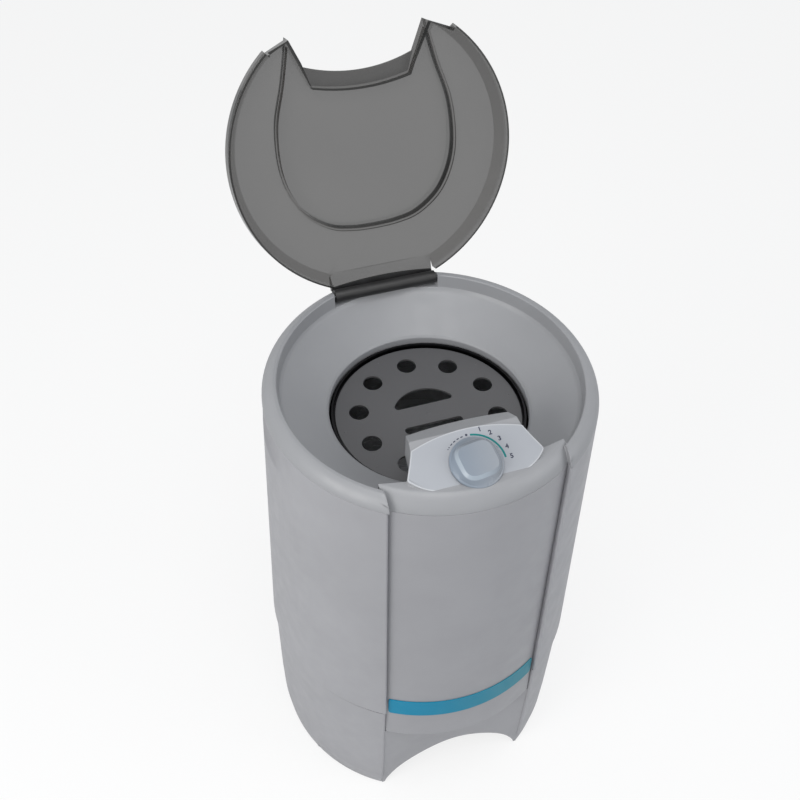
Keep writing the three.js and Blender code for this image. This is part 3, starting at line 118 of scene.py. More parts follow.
# %% The world
world = bpy.data.worlds.new("studio_world")
bpy.context.scene.world = world
world.use_nodes = True
sky = world.node_tree
sky.nodes.clear()
paths = node(sky, "ShaderNodeLightPath")
any_view = node(sky, "ShaderNodeMath", operation="ADD")
seen = node(sky, "ShaderNodeMath", operation="ADD", use_clamp=True)
fill_light = node(sky, "ShaderNodeBackground", Color=(0.94, 0.97, 1.0, 1), Strength=0.52)
white_back = node(sky, "ShaderNodeBackground", Color=(1, 1, 1, 1), Strength=1.0)
chosen = node(sky, "ShaderNodeMixShader")
sky_out = node(sky, "ShaderNodeOutputWorld")
wire(
    sky,
    paths.outputs["Is Camera Ray"], any_view.inputs[0],
    paths.outputs["Is Glossy Ray"], any_view.inputs[1],
    any_view.outputs[0], seen.inputs[0],
    paths.outputs["Is Transmission Ray"], seen.inputs[1],
    seen.outputs[0], chosen.inputs[0],
    fill_light.outputs[0], chosen.inputs[1],
    white_back.outputs[0], chosen.inputs[2],
    chosen.outputs[0], sky_out.inputs[0],
)
print("world has", len(sky.nodes), "nodes")

# %% The floor
floor_side = 12
pale_tones = [(6, (0.86, 0.86, 0.86, 1)), (7, (0.9, 0.9, 0.9, 1))]
white_share = 0.8
bpy.ops.object.select_all(action="DESELECT")
bpy.ops.mesh.primitive_plane_add(size=floor_side, location=(0, 0, 0))
floor = bpy.context.object
floor.name = "studio_floor"
paint = bpy.data.materials.new("floor_paint")
paint.use_nodes = True
ground = paint.node_tree
ground.nodes.clear()
matt = node(ground, "ShaderNodeBsdfDiffuse")
speckle = node(ground, "ShaderNodeTexNoise", Scale=3.0)
tone = node(ground, "ShaderNodeMix", pale_tones, data_type="RGBA")
glow = node(ground, "ShaderNodeEmission", Strength=1.0)
floor_path = node(ground, "ShaderNodeLightPath")
share = node(ground, "ShaderNodeMath", [(1, white_share)], operation="MULTIPLY")
floor_mix = node(ground, "ShaderNodeMixShader")
floor_out = node(ground, "ShaderNodeOutputMaterial")
wire(
    ground,
    speckle.outputs["Fac"], tone.inputs[0],
    tone.outputs[2], matt.inputs["Color"],
    floor_path.outputs["Is Camera Ray"], share.inputs[0],
    share.outputs[0], floor_mix.inputs[0],
    matt.outputs[0], floor_mix.inputs[1],
    glow.outputs[0], floor_mix.inputs[2],
    floor_mix.outputs[0], floor_out.inputs[0],
)
floor.data.materials.append(paint)
print("floor is", floor_side, "m wide")

# %% The lamps
lamps = [
    ("lamp_left", (-1.9, -0.9, 1.5), 1.2, 26, (1.0, 0.99, 0.97)),
    ("lamp_right", (1.7, -1.2, 1.7), 1.2, 12, (0.97, 0.98, 1.0)),
    ("lamp_top", (-0.2, -0.6, 2.6), 1.0, 16, (1.0, 1.0, 1.0)),
]
lit_point = Vector((0, 0, 0.45))
for name, place, size, watts, colour in lamps:
    bpy.ops.object.light_add(type="AREA", location=place)
    lamp = bpy.context.object
    lamp.name = name
    lamp.data.size = size
    lamp.data.energy = watts
    lamp.data.color = colour
    lamp.rotation_euler = (lit_point - Vector(place)).to_track_quat("-Z", "Y").to_euler()
    print(name, "at", place, "with", watts, "W")

# %% [markdown]
# ## Small helpers for drawing
#
# Most of the machine is turned or pressed. A maker draws half of a section and turns it, or draws
# a plan and pulls it up. In Blender the same is done from one point that is extruded along the
# outline; Spin turns the outline, and Extrude pulls a filled one. Corners get their small radius
# while the outline is drawn, because a moulded edge is never sharp.

# %% Outlines with soft corners
def rounded(outline, radii, steps=4):
    straight = math.radians(176)
    most_of_side = 0.48
    made = []
    for i, corner in enumerate(outline):
        radius = radii[i] if isinstance(radii, (list, tuple)) else radii
        here = Vector(corner)
        before = Vector(outline[i - 1]) - here
        after = Vector(outline[(i + 1) % len(outline)]) - here
        angle = before.angle(after) if before.length and after.length else 0
        if radius <= 0 or angle > straight or angle < 0.01:
            made.append(tuple(here))
            continue
        trim = min(radius / math.tan(angle / 2), most_of_side * before.length, most_of_side * after.length)
        real = trim * math.tan(angle / 2)
        middle = here + (before.normalized() + after.normalized()).normalized() * (real / math.sin(angle / 2))
        first = here + before.normalized() * trim - middle
        last = here + after.normalized() * trim - middle
        sweep = math.atan2(first.x * last.y - first.y * last.x, first.dot(last))
        for step in range(steps + 1):
            turn = sweep * step / steps
            swung = Vector((first.x * math.cos(turn) - first.y * math.sin(turn),
                            first.x * math.sin(turn) + first.y * math.cos(turn)))
            made.append(tuple(middle + swung))
    return made


def beside(line, distance):
    sides = []
    for start, end in zip(line, line[1:]):
        along = (Vector(end) - Vector(start)).normalized()
        sides.append(Vector((-along.y, along.x)))
    moved = []
    for i, point in enumerate(line):
        before, after = sides[max(i - 1, 0)], sides[min(i, len(sides) - 1)]
        moved.append(tuple(Vector(point) + (before + after) * (distance / (1 + before.dot(after)))))
    return moved


def bow(half, end_y, mid_y, steps=24):
    rise = mid_y - end_y
    radius = (half * half + rise * rise) / (2 * rise)
    xs = [half - 2 * half * i / steps for i in range(steps + 1)]
    return [(x, mid_y - radius + math.copysign(math.sqrt(radius * radius - x * x), radius)) for x in xs]


def mirrored(line):
    return [(-x, y) for x, y in reversed(line)]


def drawn_in(plan, distance):
    closed = [plan[-1]] + plan + [plan[0]]
    turning = sum(a[0] * b[1] - b[0] * a[1] for a, b in zip(plan, plan[1:] + plan[:1]))
    return beside(closed, distance if turning > 0 else -distance)[1:-1]


def smoothed(points, steps=6):
    line = []
    for i in range(len(points) - 1):
        p0, p1 = Vector(points[max(i - 1, 0)]), Vector(points[i])
        p2, p3 = Vector(points[i + 1]), Vector(points[min(i + 2, len(points) - 1)])
        bend = 2 * p0 - 5 * p1 + 4 * p2 - p3
        swing = 3 * p1 - p0 - 3 * p2 + p3
        for step in range(steps):
            t = step / steps
            line.append(tuple((2 * p1 + (p2 - p0) * t + bend * t * t + swing * t ** 3) / 2))
    return line + [tuple(points[-1])]


def on_circle(radius, angle, middle_y=0):
    way = math.radians(angle)
    return radius * math.cos(way), middle_y + radius * math.sin(way)


print("a soft square has", len(rounded([(0, 0), (9, 0), (9, 9), (0, 9)], 2)), "points")

# %% From an outline to a solid
def deselect():
    if bpy.context.object and bpy.context.object.mode != "OBJECT":
        bpy.ops.object.mode_set(mode="OBJECT")
    bpy.ops.object.select_all(action="DESELECT")


def pick(piece):
    deselect()
    piece.select_set(True)
    bpy.context.view_layer.objects.active = piece


def edit_all(piece):
    pick(piece)
    bpy.ops.object.mode_set(mode="EDIT")
    bpy.ops.mesh.select_all(action="SELECT")


def select_where(piece, kind, test):
    mesh = bmesh.from_edit_mesh(piece.data)
    for part in {"verts": mesh.verts, "edges": mesh.edges, "faces": mesh.faces}[kind]:
        part.select_set(test(part))
    bmesh.update_edit_mesh(piece.data)


def settled(piece):
    """Writes the place of a piece into its mesh."""
    pick(piece)
    bpy.ops.object.transform_apply(location=True, rotation=True, scale=True)
    return piece


def laid(piece, turn, place):
    piece.rotation_euler = turn
    piece.location = Vector(place) * mm
    return piece


def drawn(name, points, closed=True):
    deselect()
    bpy.ops.mesh.primitive_plane_add(size=mm, location=(0, 0, 0))
    piece = bpy.context.object
    piece.name = name
    piece.data.name = name
    bpy.ops.object.mode_set(mode="EDIT")
    bpy.ops.mesh.select_mode(type="VERT")
    bpy.ops.mesh.select_all(action="SELECT")
    bpy.ops.mesh.merge(type="CENTER")
    points = [Vector(point) * mm for point in points]
    bpy.ops.transform.translate(value=points[0])
    for start, end in zip(points, points[1:]):
        bpy.ops.mesh.extrude_region_move(TRANSFORM_OT_translate={"value": end - start})
    if closed:
        select_where(piece, "verts", lambda point: len(point.link_edges) == 1)
        bpy.ops.mesh.edge_face_add()
    bpy.ops.mesh.select_all(action="SELECT")
    return piece


def made_whole(piece):
    bpy.ops.mesh.select_all(action="SELECT")
    bpy.ops.mesh.remove_doubles(threshold=0.01 * mm)
    bpy.ops.mesh.normals_make_consistent(inside=False)
    bpy.ops.object.mode_set(mode="OBJECT")
    return piece


def turned(name, section, steps=120, closed=True, start=0, sweep=360):
    way = math.radians(start)
    points = [(r * math.cos(way), r * math.sin(way), z) for r, z in section]
    piece = drawn(name, points, closed)
    if sweep < 360:
        bpy.ops.mesh.edge_face_add()
    bpy.ops.mesh.spin(steps=steps, angle=-math.radians(sweep), center=(0, 0, 0), axis=(0, 0, 1))
    return made_whole(piece)


def pulled(name, outline, low, high, along="Z"):
    place = {
        "Z": lambda a, b: (a, b, low),
        "Y": lambda a, b: (a, low, b),
        "X": lambda a, b: (low, a, b),
    }[along]
    push = {"Z": (0, 0, 1), "Y": (0, 1, 0), "X": (1, 0, 0)}[along]
    piece = drawn(name, [place(a, b) for a, b in outline])
    bpy.ops.mesh.edge_face_add()
    travel = Vector(push) * (high - low) * mm
    bpy.ops.mesh.extrude_region_move(TRANSFORM_OT_translate={"value": travel})
    return made_whole(piece)


def box_tool(x0, x1, y0, y1, z0, z1):
    deselect()
    middle = Vector((x0 + x1, y0 + y1, z0 + z1)) * (mm / 2)
    sides = ((x1 - x0) * mm, (y1 - y0) * mm, (z1 - z0) * mm)
    bpy.ops.mesh.primitive_cube_add(size=1, location=middle, scale=sides)
    return bpy.context.object


def rod_tool(x, y, low, high, radius, sides=48):
    deselect()
    middle = (x * mm, y * mm, (low + high) / 2 * mm)
    bpy.ops.mesh.primitive_cylinder_add(vertices=sides, radius=radius * mm, depth=(high - low) * mm, location=middle)
    return bpy.context.object


print("outlines can be turned and pulled")

# %% Cutting, joining and rounding
def changed(piece, kind, **settings):
    """Gives a piece a modifier with its settings and applies it."""
    pick(piece)
    bpy.ops.object.modifier_add(type=kind)
    change = piece.modifiers[-1]
    for key, value in settings.items():
        setattr(change, key, value)
    bpy.ops.object.modifier_apply(modifier=change.name)


def worked(piece, tool, operation="DIFFERENCE"):
    changed(piece, "BOOLEAN", operation=operation, solver="EXACT", object=tool)
    bpy.data.objects.remove(tool)
    return piece


def joined(*pieces):
    pick(pieces[0])
    for other in pieces[1:]:
        other.select_set(True)
    bpy.ops.object.join()
    return pieces[0]


def sliced(piece, point, facing):
    """Cuts a piece flat through a point and drops the side that the direction faces."""
    edit_all(piece)
    bpy.ops.mesh.bisect(plane_co=Vector(point) * mm, plane_no=facing, use_fill=True, clear_outer=True)
    bpy.ops.object.mode_set(mode="OBJECT")
    return piece


def reined_in(piece, form, reach):
    """Brings the points that a rounding has thrown off the form back onto it."""
    strays = [p.index for p in piece.data.vertices if (form.closest_point_on_mesh(p.co)[1] - p.co).length > reach * mm]
    if strays:
        piece.vertex_groups.new(name="strays").add(strays, 1, "REPLACE")
        changed(piece, "SHRINKWRAP", target=form, vertex_group="strays")
        piece.vertex_groups.clear()
    bpy.data.objects.remove(form)
    print(piece.name, "had", len(strays), "stray points brought back")


def eased(piece, width, angle=35, segments=2, tight=True, slot=-1):
    farthest_share = 0.6
    pick(piece)
    bpy.ops.object.duplicate()
    form = bpy.context.object
    changed(piece, "BEVEL", width=width * mm, segments=segments, limit_method="ANGLE",
            angle_limit=math.radians(angle), use_clamp_overlap=tight, material=slot)
    reined_in(piece, form, farthest_share * width)
    return piece


def cleaned(piece, distance=0.02):
    edit_all(piece)
    bpy.ops.mesh.remove_doubles(threshold=distance * mm)
    bpy.ops.mesh.dissolve_degenerate(threshold=distance * mm)
    bpy.ops.mesh.normals_make_consistent(inside=False)
    bpy.ops.object.mode_set(mode="OBJECT")
    return piece


print("drawing helpers are ready")

# %% [markdown]
# ## Finishes
#
# The body is satin grey plastic. Close up, such plastic has three things that a flat colour lacks:
# a fine spark-eroded grain from its mould, slow changes of tone where it cooled, and edges that
# are rubbed a little lighter. Each of these is used by many finishes, so it is a node group with
# named sockets that is built once and placed in each material with its own values.

# %% The moulded surface group
def new_group(name, inputs):
    outputs = (("Colour", "NodeSocketColor"), ("Roughness", "NodeSocketFloat"), ("Normal", "NodeSocketVector"))
    group = bpy.data.node_groups.new(name, "ShaderNodeTree")
    for title, kind, value in inputs:
        socket = group.interface.new_socket(name=title, in_out="INPUT", socket_type=kind)
        socket.default_value = value
    for title, kind in outputs:
        group.interface.new_socket(name=title, in_out="OUTPUT", socket_type=kind)
    given = group.nodes.new("NodeGroupInput").outputs
    result = group.nodes.new("NodeGroupOutput").inputs
    return group, given, result, node(group, "ShaderNodeTexCoord").outputs["Object"]


def add_skin(group, given, result, rough_by, relief_by, height, distance):
    """Ends a group: one texture sets the roughness, and one lifts the surface."""
    gloss = node(group, "ShaderNodeMapRange", From_Min=0.3, From_Max=0.7)
    relief = node(group, "ShaderNodeBump", Distance=distance)
    wire(
        group,
        rough_by.outputs["Fac"], gloss.inputs["Value"],
        given["Roughness low"], gloss.inputs["To Min"],
        given["Roughness high"], gloss.inputs["To Max"],
        gloss.outputs[0], result["Roughness"],
        relief_by.outputs["Fac"], relief.inputs["Height"],
        given[height], relief.inputs["Strength"],
        relief.outputs[0], result["Normal"],
    )


moulded, given, result, place = new_group(
    "moulded_surface",
    [
        ("Colour", "NodeSocketColor", (0.5, 0.5, 0.5, 1)),
        ("Edge colour", "NodeSocketColor", (0.8, 0.8, 0.8, 1)),
        ("Tone change", "NodeSocketFloat", 0.05),
        ("Edge wear", "NodeSocketFloat", 0.3),
        ("Roughness low", "NodeSocketFloat", 0.35),
        ("Roughness high", "NodeSocketFloat", 0.5),
        ("Grain scale", "NodeSocketFloat", 900.0),
        ("Grain height", "NodeSocketFloat", 0.1),
    ],
)
slow = node(moulded, "ShaderNodeTexNoise", Scale=9.0, Detail=3.0)
smear = node(moulded, "ShaderNodeTexNoise", Scale=46.0, Detail=5.0)
grain = node(moulded, "ShaderNodeTexNoise", Detail=2.0)
tone_swing = node(moulded, "ShaderNodeMapRange", From_Min=0.3, From_Max=0.7)
low_tone = node(moulded, "ShaderNodeMath", [(0, 1)], operation="SUBTRACT")
high_tone = node(moulded, "ShaderNodeMath", [(0, 1)], operation="ADD")
toned = node(moulded, "ShaderNodeVectorMath", operation="SCALE")
shape_of = node(moulded, "ShaderNodeNewGeometry")
edge_mask = node(moulded, "ShaderNodeMapRange", From_Min=0.53, From_Max=0.62)
rubbed = node(moulded, "ShaderNodeMath", operation="MULTIPLY")
broken = node(moulded, "ShaderNodeMath", operation="MULTIPLY")
broken_mask = node(moulded, "ShaderNodeMapRange", From_Min=0.35, From_Max=0.6)
with_edges = node(moulded, "ShaderNodeMix", data_type="RGBA")
wire(
    moulded,
    place, slow.inputs["Vector"],
    place, smear.inputs["Vector"],
    place, grain.inputs["Vector"],
    given["Grain scale"], grain.inputs["Scale"],
    given["Tone change"], low_tone.inputs[1],
    given["Tone change"], high_tone.inputs[1],
    slow.outputs["Fac"], tone_swing.inputs["Value"],
    low_tone.outputs[0], tone_swing.inputs["To Min"],
    high_tone.outputs[0], tone_swing.inputs["To Max"],
    given["Colour"], toned.inputs[0],
    tone_swing.outputs[0], toned.inputs["Scale"],
    shape_of.outputs["Pointiness"], edge_mask.inputs["Value"],
    smear.outputs["Fac"], broken_mask.inputs["Value"],
    edge_mask.outputs[0], broken.inputs[0],
    broken_mask.outputs[0], broken.inputs[1],
    broken.outputs[0], rubbed.inputs[0],
    given["Edge wear"], rubbed.inputs[1],
    rubbed.outputs[0], with_edges.inputs[0],
    toned.outputs[0], with_edges.inputs[6],
    given["Edge colour"], with_edges.inputs[7],
    with_edges.outputs[2], result["Colour"],
)
add_skin(moulded, given, result, smear, grain, "Grain height", 0.0002)
print("moulded_surface has", len(moulded.nodes), "nodes")

# %% [markdown]
# Metal shows its making differently. Turned and drawn steel has fine rings round its axis, and
# plated sheet has cloudy patches. One group gives rings whose spacing is stretched along the
# surface, so that roughness and relief change from line to line.

# %% The worked metal group
worked_metal, given, result, place = new_group(
    "worked_metal",
    [
        ("Colour", "NodeSocketColor", (0.6, 0.6, 0.6, 1)),
        ("Stain colour", "NodeSocketColor", (0.4, 0.4, 0.4, 1)),
        ("Stain", "NodeSocketFloat", 0.2),
        ("Line stretch", "NodeSocketVector", (4.0, 4.0, 700.0)),
        ("Roughness low", "NodeSocketFloat", 0.2),
        ("Roughness high", "NodeSocketFloat", 0.4),
        ("Line height", "NodeSocketFloat", 0.15),
    ],
)
stretch = node(worked_metal, "ShaderNodeVectorMath", operation="MULTIPLY")
lines = node(worked_metal, "ShaderNodeTexNoise", Scale=1.0, Detail=4.0)
clouds = node(worked_metal, "ShaderNodeTexNoise", Scale=28.0, Detail=4.0)
cloud_mask = node(worked_metal, "ShaderNodeMapRange", From_Min=0.42, From_Max=0.68)
stain_share = node(worked_metal, "ShaderNodeMath", operation="MULTIPLY")
stained = node(worked_metal, "ShaderNodeMix", data_type="RGBA")
wire(
    worked_metal,
    place, stretch.inputs[0],
    given["Line stretch"], stretch.inputs[1],
    stretch.outputs[0], lines.inputs["Vector"],
    place, clouds.inputs["Vector"],
    clouds.outputs["Fac"], cloud_mask.inputs["Value"],
    cloud_mask.outputs[0], stain_share.inputs[0],
    given["Stain"], stain_share.inputs[1],
    stain_share.outputs[0], stained.inputs[0],
    given["Colour"], stained.inputs[6],
    given["Stain colour"], stained.inputs[7],
    stained.outputs[2], result["Colour"],
)
add_skin(worked_metal, given, result, lines, lines, "Line height", 0.0001)
print("worked_metal has", len(worked_metal.nodes), "nodes")

# %% Materials from the groups
def linear(red, green, blue):
    channels = []
    for value in (red, green, blue):
        value = value / 255
        channels.append(value / 12.92 if value <= 0.04045 else ((value + 0.055) / 1.055) ** 2.4)
    return (*channels, 1)


def material(name, group, values, metallic=0.0, specular=0.5, alpha=1.0):
    made = bpy.data.materials.new(name)
    made.use_nodes = True
    tree = made.node_tree
    shader = tree.nodes["Principled BSDF"]
    shader.inputs["Metallic"].default_value = metallic
    shader.inputs["Specular IOR Level"].default_value = specular
    shader.inputs["Alpha"].default_value = alpha
    surface = tree.nodes.new("ShaderNodeGroup")
    surface.node_tree = group
    for title, value in values.items():
        surface.inputs[title].default_value = value
    for title, socket in (("Colour", "Base Color"), ("Roughness", "Roughness"), ("Normal", "Normal")):
        tree.links.new(surface.outputs[title], shader.inputs[socket])
    made.diffuse_color = values["Colour"]
    return made


def plastic(name, colour, edge, rough=(0.36, 0.48), tone=0.04, wear=0.35, grain=(900, 0.1), **more):
    titles = ("Colour", "Edge colour", "Tone change", "Edge wear",
              "Roughness low", "Roughness high", "Grain scale", "Grain height")
    values = dict(zip(titles, (linear(*colour), linear(*edge), tone, wear, *rough, *grain)))
    return material(name, moulded, values, **more)


def metal(name, colour, stain_colour, stain, stretch=(4, 4, 700), rough=(0.2, 0.38), height=0.12):
    titles = ("Colour", "Stain colour", "Stain", "Line stretch", "Roughness low", "Roughness high", "Line height")
    values = dict(zip(titles, (linear(*colour), linear(*stain_colour), stain, stretch, *rough, height)))
    return material(name, worked_metal, values, metallic=1.0)


rubbed_grey = (172, 172, 176)
body_grey = plastic("body_grey_plastic", (147, 147, 151), rubbed_grey)
panel_grey = plastic("panel_grey_plastic", (144, 144, 148), rubbed_grey, rough=(0.34, 0.44))
deck_grey = plastic("deck_grey_plastic", (143, 144, 147), rubbed_grey, wear=0.15)
face_pale = plastic("face_pale_film", (158, 161, 167), (186, 188, 194), (0.28, 0.36), wear=0.0, grain=(2200, 0.06))
face_border = plastic("face_border_film", (180, 182, 186), (200, 202, 206), (0.26, 0.34), wear=0.0, grain=(2200, 0.05))
disc_dark = plastic("cover_dark_plastic", (84, 84, 86), (130, 130, 132), rough=(0.4, 0.5), wear=0.0)
# The cover's rims are lighter than the disc: partly wear, partly a painted highlight where they catch the light.
disc_rim_wear_and_highlight = plastic("cover_rim_wear_and_highlight", (122, 122, 125), (150, 150, 152), rough=(0.3, 0.4), wear=0.3)
tub_white = plastic("tub_white_plastic", (196, 199, 200), (214, 216, 217), tone=0.06)
black_rubber = plastic("black_rubber", (34, 34, 36), (70, 70, 72), rough=(0.7, 0.92), grain=(1400, 0.35))
black_plastic = plastic("black_plastic", (42, 42, 44), (84, 84, 86), rough=(0.42, 0.6), grain=(1200, 0.2))
pad_lining = plastic("brake_lining", (74, 62, 54), (120, 106, 94), rough=(0.82, 0.97), tone=0.25, grain=(700, 0.8))
winding = plastic("stator_winding", (148, 86, 48), (196, 124, 74), rough=(0.3, 0.5), tone=0.2, grain=(500, 0.6))
teal_ink = plastic("teal_ink", (14, 116, 116), (20, 122, 122), rough=(0.4, 0.5), grain=(2600, 0.05), specular=0.2)
dark_ink = plastic("dark_ink", (38, 42, 62), (50, 54, 74), rough=(0.35, 0.45), grain=(2600, 0.05))
steel = metal("drawn_steel", (196, 197, 199), (150, 150, 152), 0.25)
zinc = metal("zinc_plate", (178, 181, 184), (150, 146, 128), 0.45, (60, 60, 60), (0.3, 0.46), 0.08)
cast_grey = metal("cast_aluminium", (150, 152, 154), (112, 112, 112), 0.5, (160, 160, 160), (0.46, 0.66), 0.4)
print("plain finishes made")

# %% [markdown]
# Some finishes change along one direction. The band's blue is deepest on the left and turns to a
# greyer teal on the right, the knob is bluer on its left, and the basket is bright below but has a
# dark ring at its mouth. Their colour is mixed by the Object coordinates along that direction
# before the group adds its tone and gloss.

# %% Finishes that fade along a direction
def faded(finish, start, end, low, high, way):
    tree = finish.node_tree
    surface = next(n for n in tree.nodes if n.type == "GROUP")
    place = node(tree, "ShaderNodeTexCoord")
    along = node(tree, "ShaderNodeVectorMath", [(1, way)], operation="DOT_PRODUCT")
    fade = node(tree, "ShaderNodeMapRange", From_Min=low, From_Max=high, interpolation_type="SMOOTHSTEP")
    hue = node(tree, "ShaderNodeMix", [(6, linear(*start)), (7, linear(*end))], data_type="RGBA")
    wire(
        tree,
        place.outputs["Object"], along.inputs[0],
        along.outputs["Value"], fade.inputs["Value"],
        fade.outputs[0], hue.inputs[0],
        hue.outputs[2], surface.inputs["Colour"],
    )
    print(finish.name, "fades along", way)
    return finish


film = plastic("band_blue_film", (8, 116, 156), (60, 150, 180), (0.4, 0.5), wear=0.0, grain=(2400, 0.04), specular=0.15)
band_blue = faded(film, (10, 126, 160), (54, 128, 144), -0.075, 0.105, (1, 0, 0))
crown = plastic(
    "knob_grey_plastic", (128, 136, 146), (150, 160, 172), (0.26, 0.36), wear=0.05, grain=(1600, 0.05), specular=0.35)
knob_grey = faded(crown, (124, 134, 146), (142, 147, 154), -0.03, 0.03, (1, 0, 0))
# The knob's bevel finish is lighter towards its lower left and darker towards its upper right: a painted highlight
# along the crown's edge.
edge = plastic(
    "knob_bevel_painted_highlight", (150, 160, 170), (170, 180, 190), (0.2, 0.28), wear=0.0, grain=(1600, 0.05), specular=0.35)
knob_bevel_highlight = faded(edge, (150, 160, 170), (128, 134, 142), -0.128, -0.1, (0.7, 0.7, 0))
drum = metal("basket_steel", (190, 191, 193), (150, 150, 152), 0.0, rough=(0.24, 0.42))
basket_steel = faded(drum, (190, 191, 193), (44, 44, 46), 0.612, 0.614, (0, 0, 1))

# %% [markdown]
# The lid is smoke-tinted clear plastic. One sheet lets through about a third of the light, two in a
# row much less, and along its cut edges it looks nearly black. Alpha on each face does this simply:
# the broad faces let light through, and the narrow faces of the walls are almost closed.

# %% The smoked finishes
def smoked(name, colour, alpha, rough, specular=0.5):
    made = plastic(name, colour, colour, rough, 0.08, 0.0, (1500, 0.02), alpha=alpha, specular=specular)
    made.node_tree.nodes["Principled BSDF"].inputs["IOR"].default_value = 1.49
    return made


lid_smoke = smoked("lid_smoked_plastic", (60, 59, 58), 0.61, (0.08, 0.14))
lid_band = smoked("lid_band_plastic", (54, 52, 50), 0.66, (0.5, 0.6), 0.15)
lid_edge = smoked("lid_edge_plastic", (26, 26, 25), 0.93, (0.12, 0.2))
lid_strip = smoked("lid_strip_plastic", (38, 37, 36), 0.82, (0.4, 0.5))
# Near-black hinge plastic: partly the hinge's own black, and partly painted shade for the shadowed gap at the lid's
# hinge.
hinge_black_and_shade = plastic("hinge_plastic_painted_shade", (24, 24, 25), (60, 60, 62), (0.4, 0.55), wear=0.1, grain=(1200, 0.15))
print("smoked finishes made")

# %% [markdown]
# ## Finishing a piece
#
# A finished piece sits at the origin with its place in its mesh, has faces that point outwards, is
# smooth where its faces turn gently and crisp where they turn sharply, stands for its part of the
# frame and moves with it.

# %% The last steps that every piece shares
def finished(piece, body, finishes, stands_for=(), angle=32):
    settled(piece)
    bpy.ops.object.shade_smooth_by_angle(angle=math.radians(angle))
    changed(piece, "WEIGHTED_NORMAL", keep_sharp=True)
    for finish in finishes:
        piece.data.materials.append(finish)
    if stands_for:
        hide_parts(*stands_for)
    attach(piece, body)
    mesh = bmesh.new()
    mesh.from_mesh(piece.data)
    open_edges = sum(1 for edge in mesh.edges if not edge.is_manifold)
    size = mesh.calc_volume() * 1e6
    mesh.free()
    print(piece.name, len(piece.data.polygons), "faces,", open_edges, "open edges,", round(size, 1), "ml")
    return piece


print("the last steps are ready")

# %% [markdown]
# ## Cabinet
#
# The cabinet is a gently tapering drum that is open at the front, where the panel sits. Its two
# front edges fold inwards with a soft radius, and a finger grip is pressed into each side under
# the rim. It is turned as a thick ring first. The front is then cut by a tool whose corners flare
# out, which leaves the soft radius, and a core is taken out so that only a thin wall is left.

# %% Measures of the drum
wall = 3
seam_z, rim_z = 240, 681
seam_radius, rim_radius = 220, 208
panel_half = 111
inner_half = panel_half + wall
fine, coarse = 144, 120


def drum_radius(z):
    return seam_radius - (seam_radius - rim_radius) * (z - seam_z) / (rim_z - seam_z)


def front_tool(half, low, high, back=0):
    return box_tool(-half, half, -300, back, low, high)


def corner_tool(name, levels, radius_at, half, corner=2.6):
    """A cutter for an opening of one half width whose vertical edges are left with a soft radius."""
    arm, flare, overlap, front_y = 40, 30, 0.06, -280
    way = math.asin(half / radius_at(levels[0]))
    along = (math.cos(way), math.sin(way))
    edge_y = -math.sqrt(radius_at(levels[0]) ** 2 - half * half)
    bend = [(half, edge_y + arm), (half, edge_y), (half + arm * along[0], edge_y + arm * along[1])]
    soft = rounded(bend, [0, corner, 0], 6)
    plan = [(half, 0)] + [(x - overlap, y - overlap) for x, y in soft[1:-1]]
    plan += [(half + flare * along[0], edge_y + flare * along[1] - 0.1), (half + flare, front_y)]
    piece = drawn(name, [(x, y, levels[0]) for x, y in plan + mirrored(plan)])
    bpy.ops.mesh.edge_face_add()
    for low, high in zip(levels, levels[1:]):
        y_low, y_high = (-math.sqrt(radius_at(z) ** 2 - half * half) for z in (low, high))
        step = Vector((0, y_high - y_low, high - low)) * mm
        bpy.ops.mesh.extrude_region_move(TRANSFORM_OT_translate={"value": step})
    return made_whole(piece)


print("the drum is", 2 * seam_radius, "mm wide at its seam")

# %% Turn, cut and hollow the cabinet
thick, body_top = 20, 680.7
sill_radius, sill_z = 215.5, 254
grip_foot, grip_top, grip_deep, grip_half = 627, 677.5, 15.4, 100
outside_x = 240
seam_r, top_r = drum_radius(seam_z), drum_radius(body_top)
cabinet_section = rounded(
    [(seam_r - thick, seam_z), (seam_r, seam_z), (top_r, body_top), (top_r - thick, body_top)], [0, 1.2, 0.8, 0])
cabinet = turned("cabinet_body", cabinet_section, fine)
worked(cabinet, corner_tool("front_cut", [230, 690], drum_radius, panel_half))
grip_curve = []
for step in range(10):
    high = step / 9
    grip_curve.append((drum_radius(grip_foot) - grip_deep * high ** 0.7, grip_foot + (grip_top - grip_foot) * high))
core_line = [(0, 235), (sill_radius, 235), (sill_radius, sill_z), (drum_radius(sill_z) - wall, sill_z),
             (drum_radius(690) - wall, 690), (0, 690)]
core = turned("core", core_line, fine, closed=False)
worked(core, front_tool(inner_half, 200, 720))
for side in (1, -1):
    behind = [(x - wall, z - wall) for x, z in grip_curve]
    cup = [(outside_x, grip_foot - wall)] + behind + [(behind[-1][0], 700), (outside_x, 700)]
    worked(core, pulled("cup", [(side * x, z) for x, z in cup], -grip_half, grip_half, "Y"))
worked(cabinet, core)
for side in (1, -1):
    hollow = [(outside_x, grip_foot)] + grip_curve + [(outside_x, grip_top)]
    worked(cabinet, pulled("hollow", [(side * x, z) for x, z in hollow], -grip_half, grip_half, "Y"))
cleaned(cabinet)
finished(cabinet, "cabinet", [body_grey], ["cabinet_shell"])

# %% [markdown]
# ## Front panel
#
# The panel is a separate shallow shell let into the front, eight millimetres behind the drum. It
# carries on below the seam and ends in a curved foot. One section is turned through the front only,
# and its two sides are cut straight, as the moulding has them.

# %% Turn the front panel and cut its sides
inset = 8
panel_foot, panel_top, foot_radius, lip_radius = 178, 676.9, 213.7, 168
panel_side = 110.7
front_turn = {"steps": 60, "start": -130, "sweep": 80}


def panel_radius(z):
    return drum_radius(z) - inset


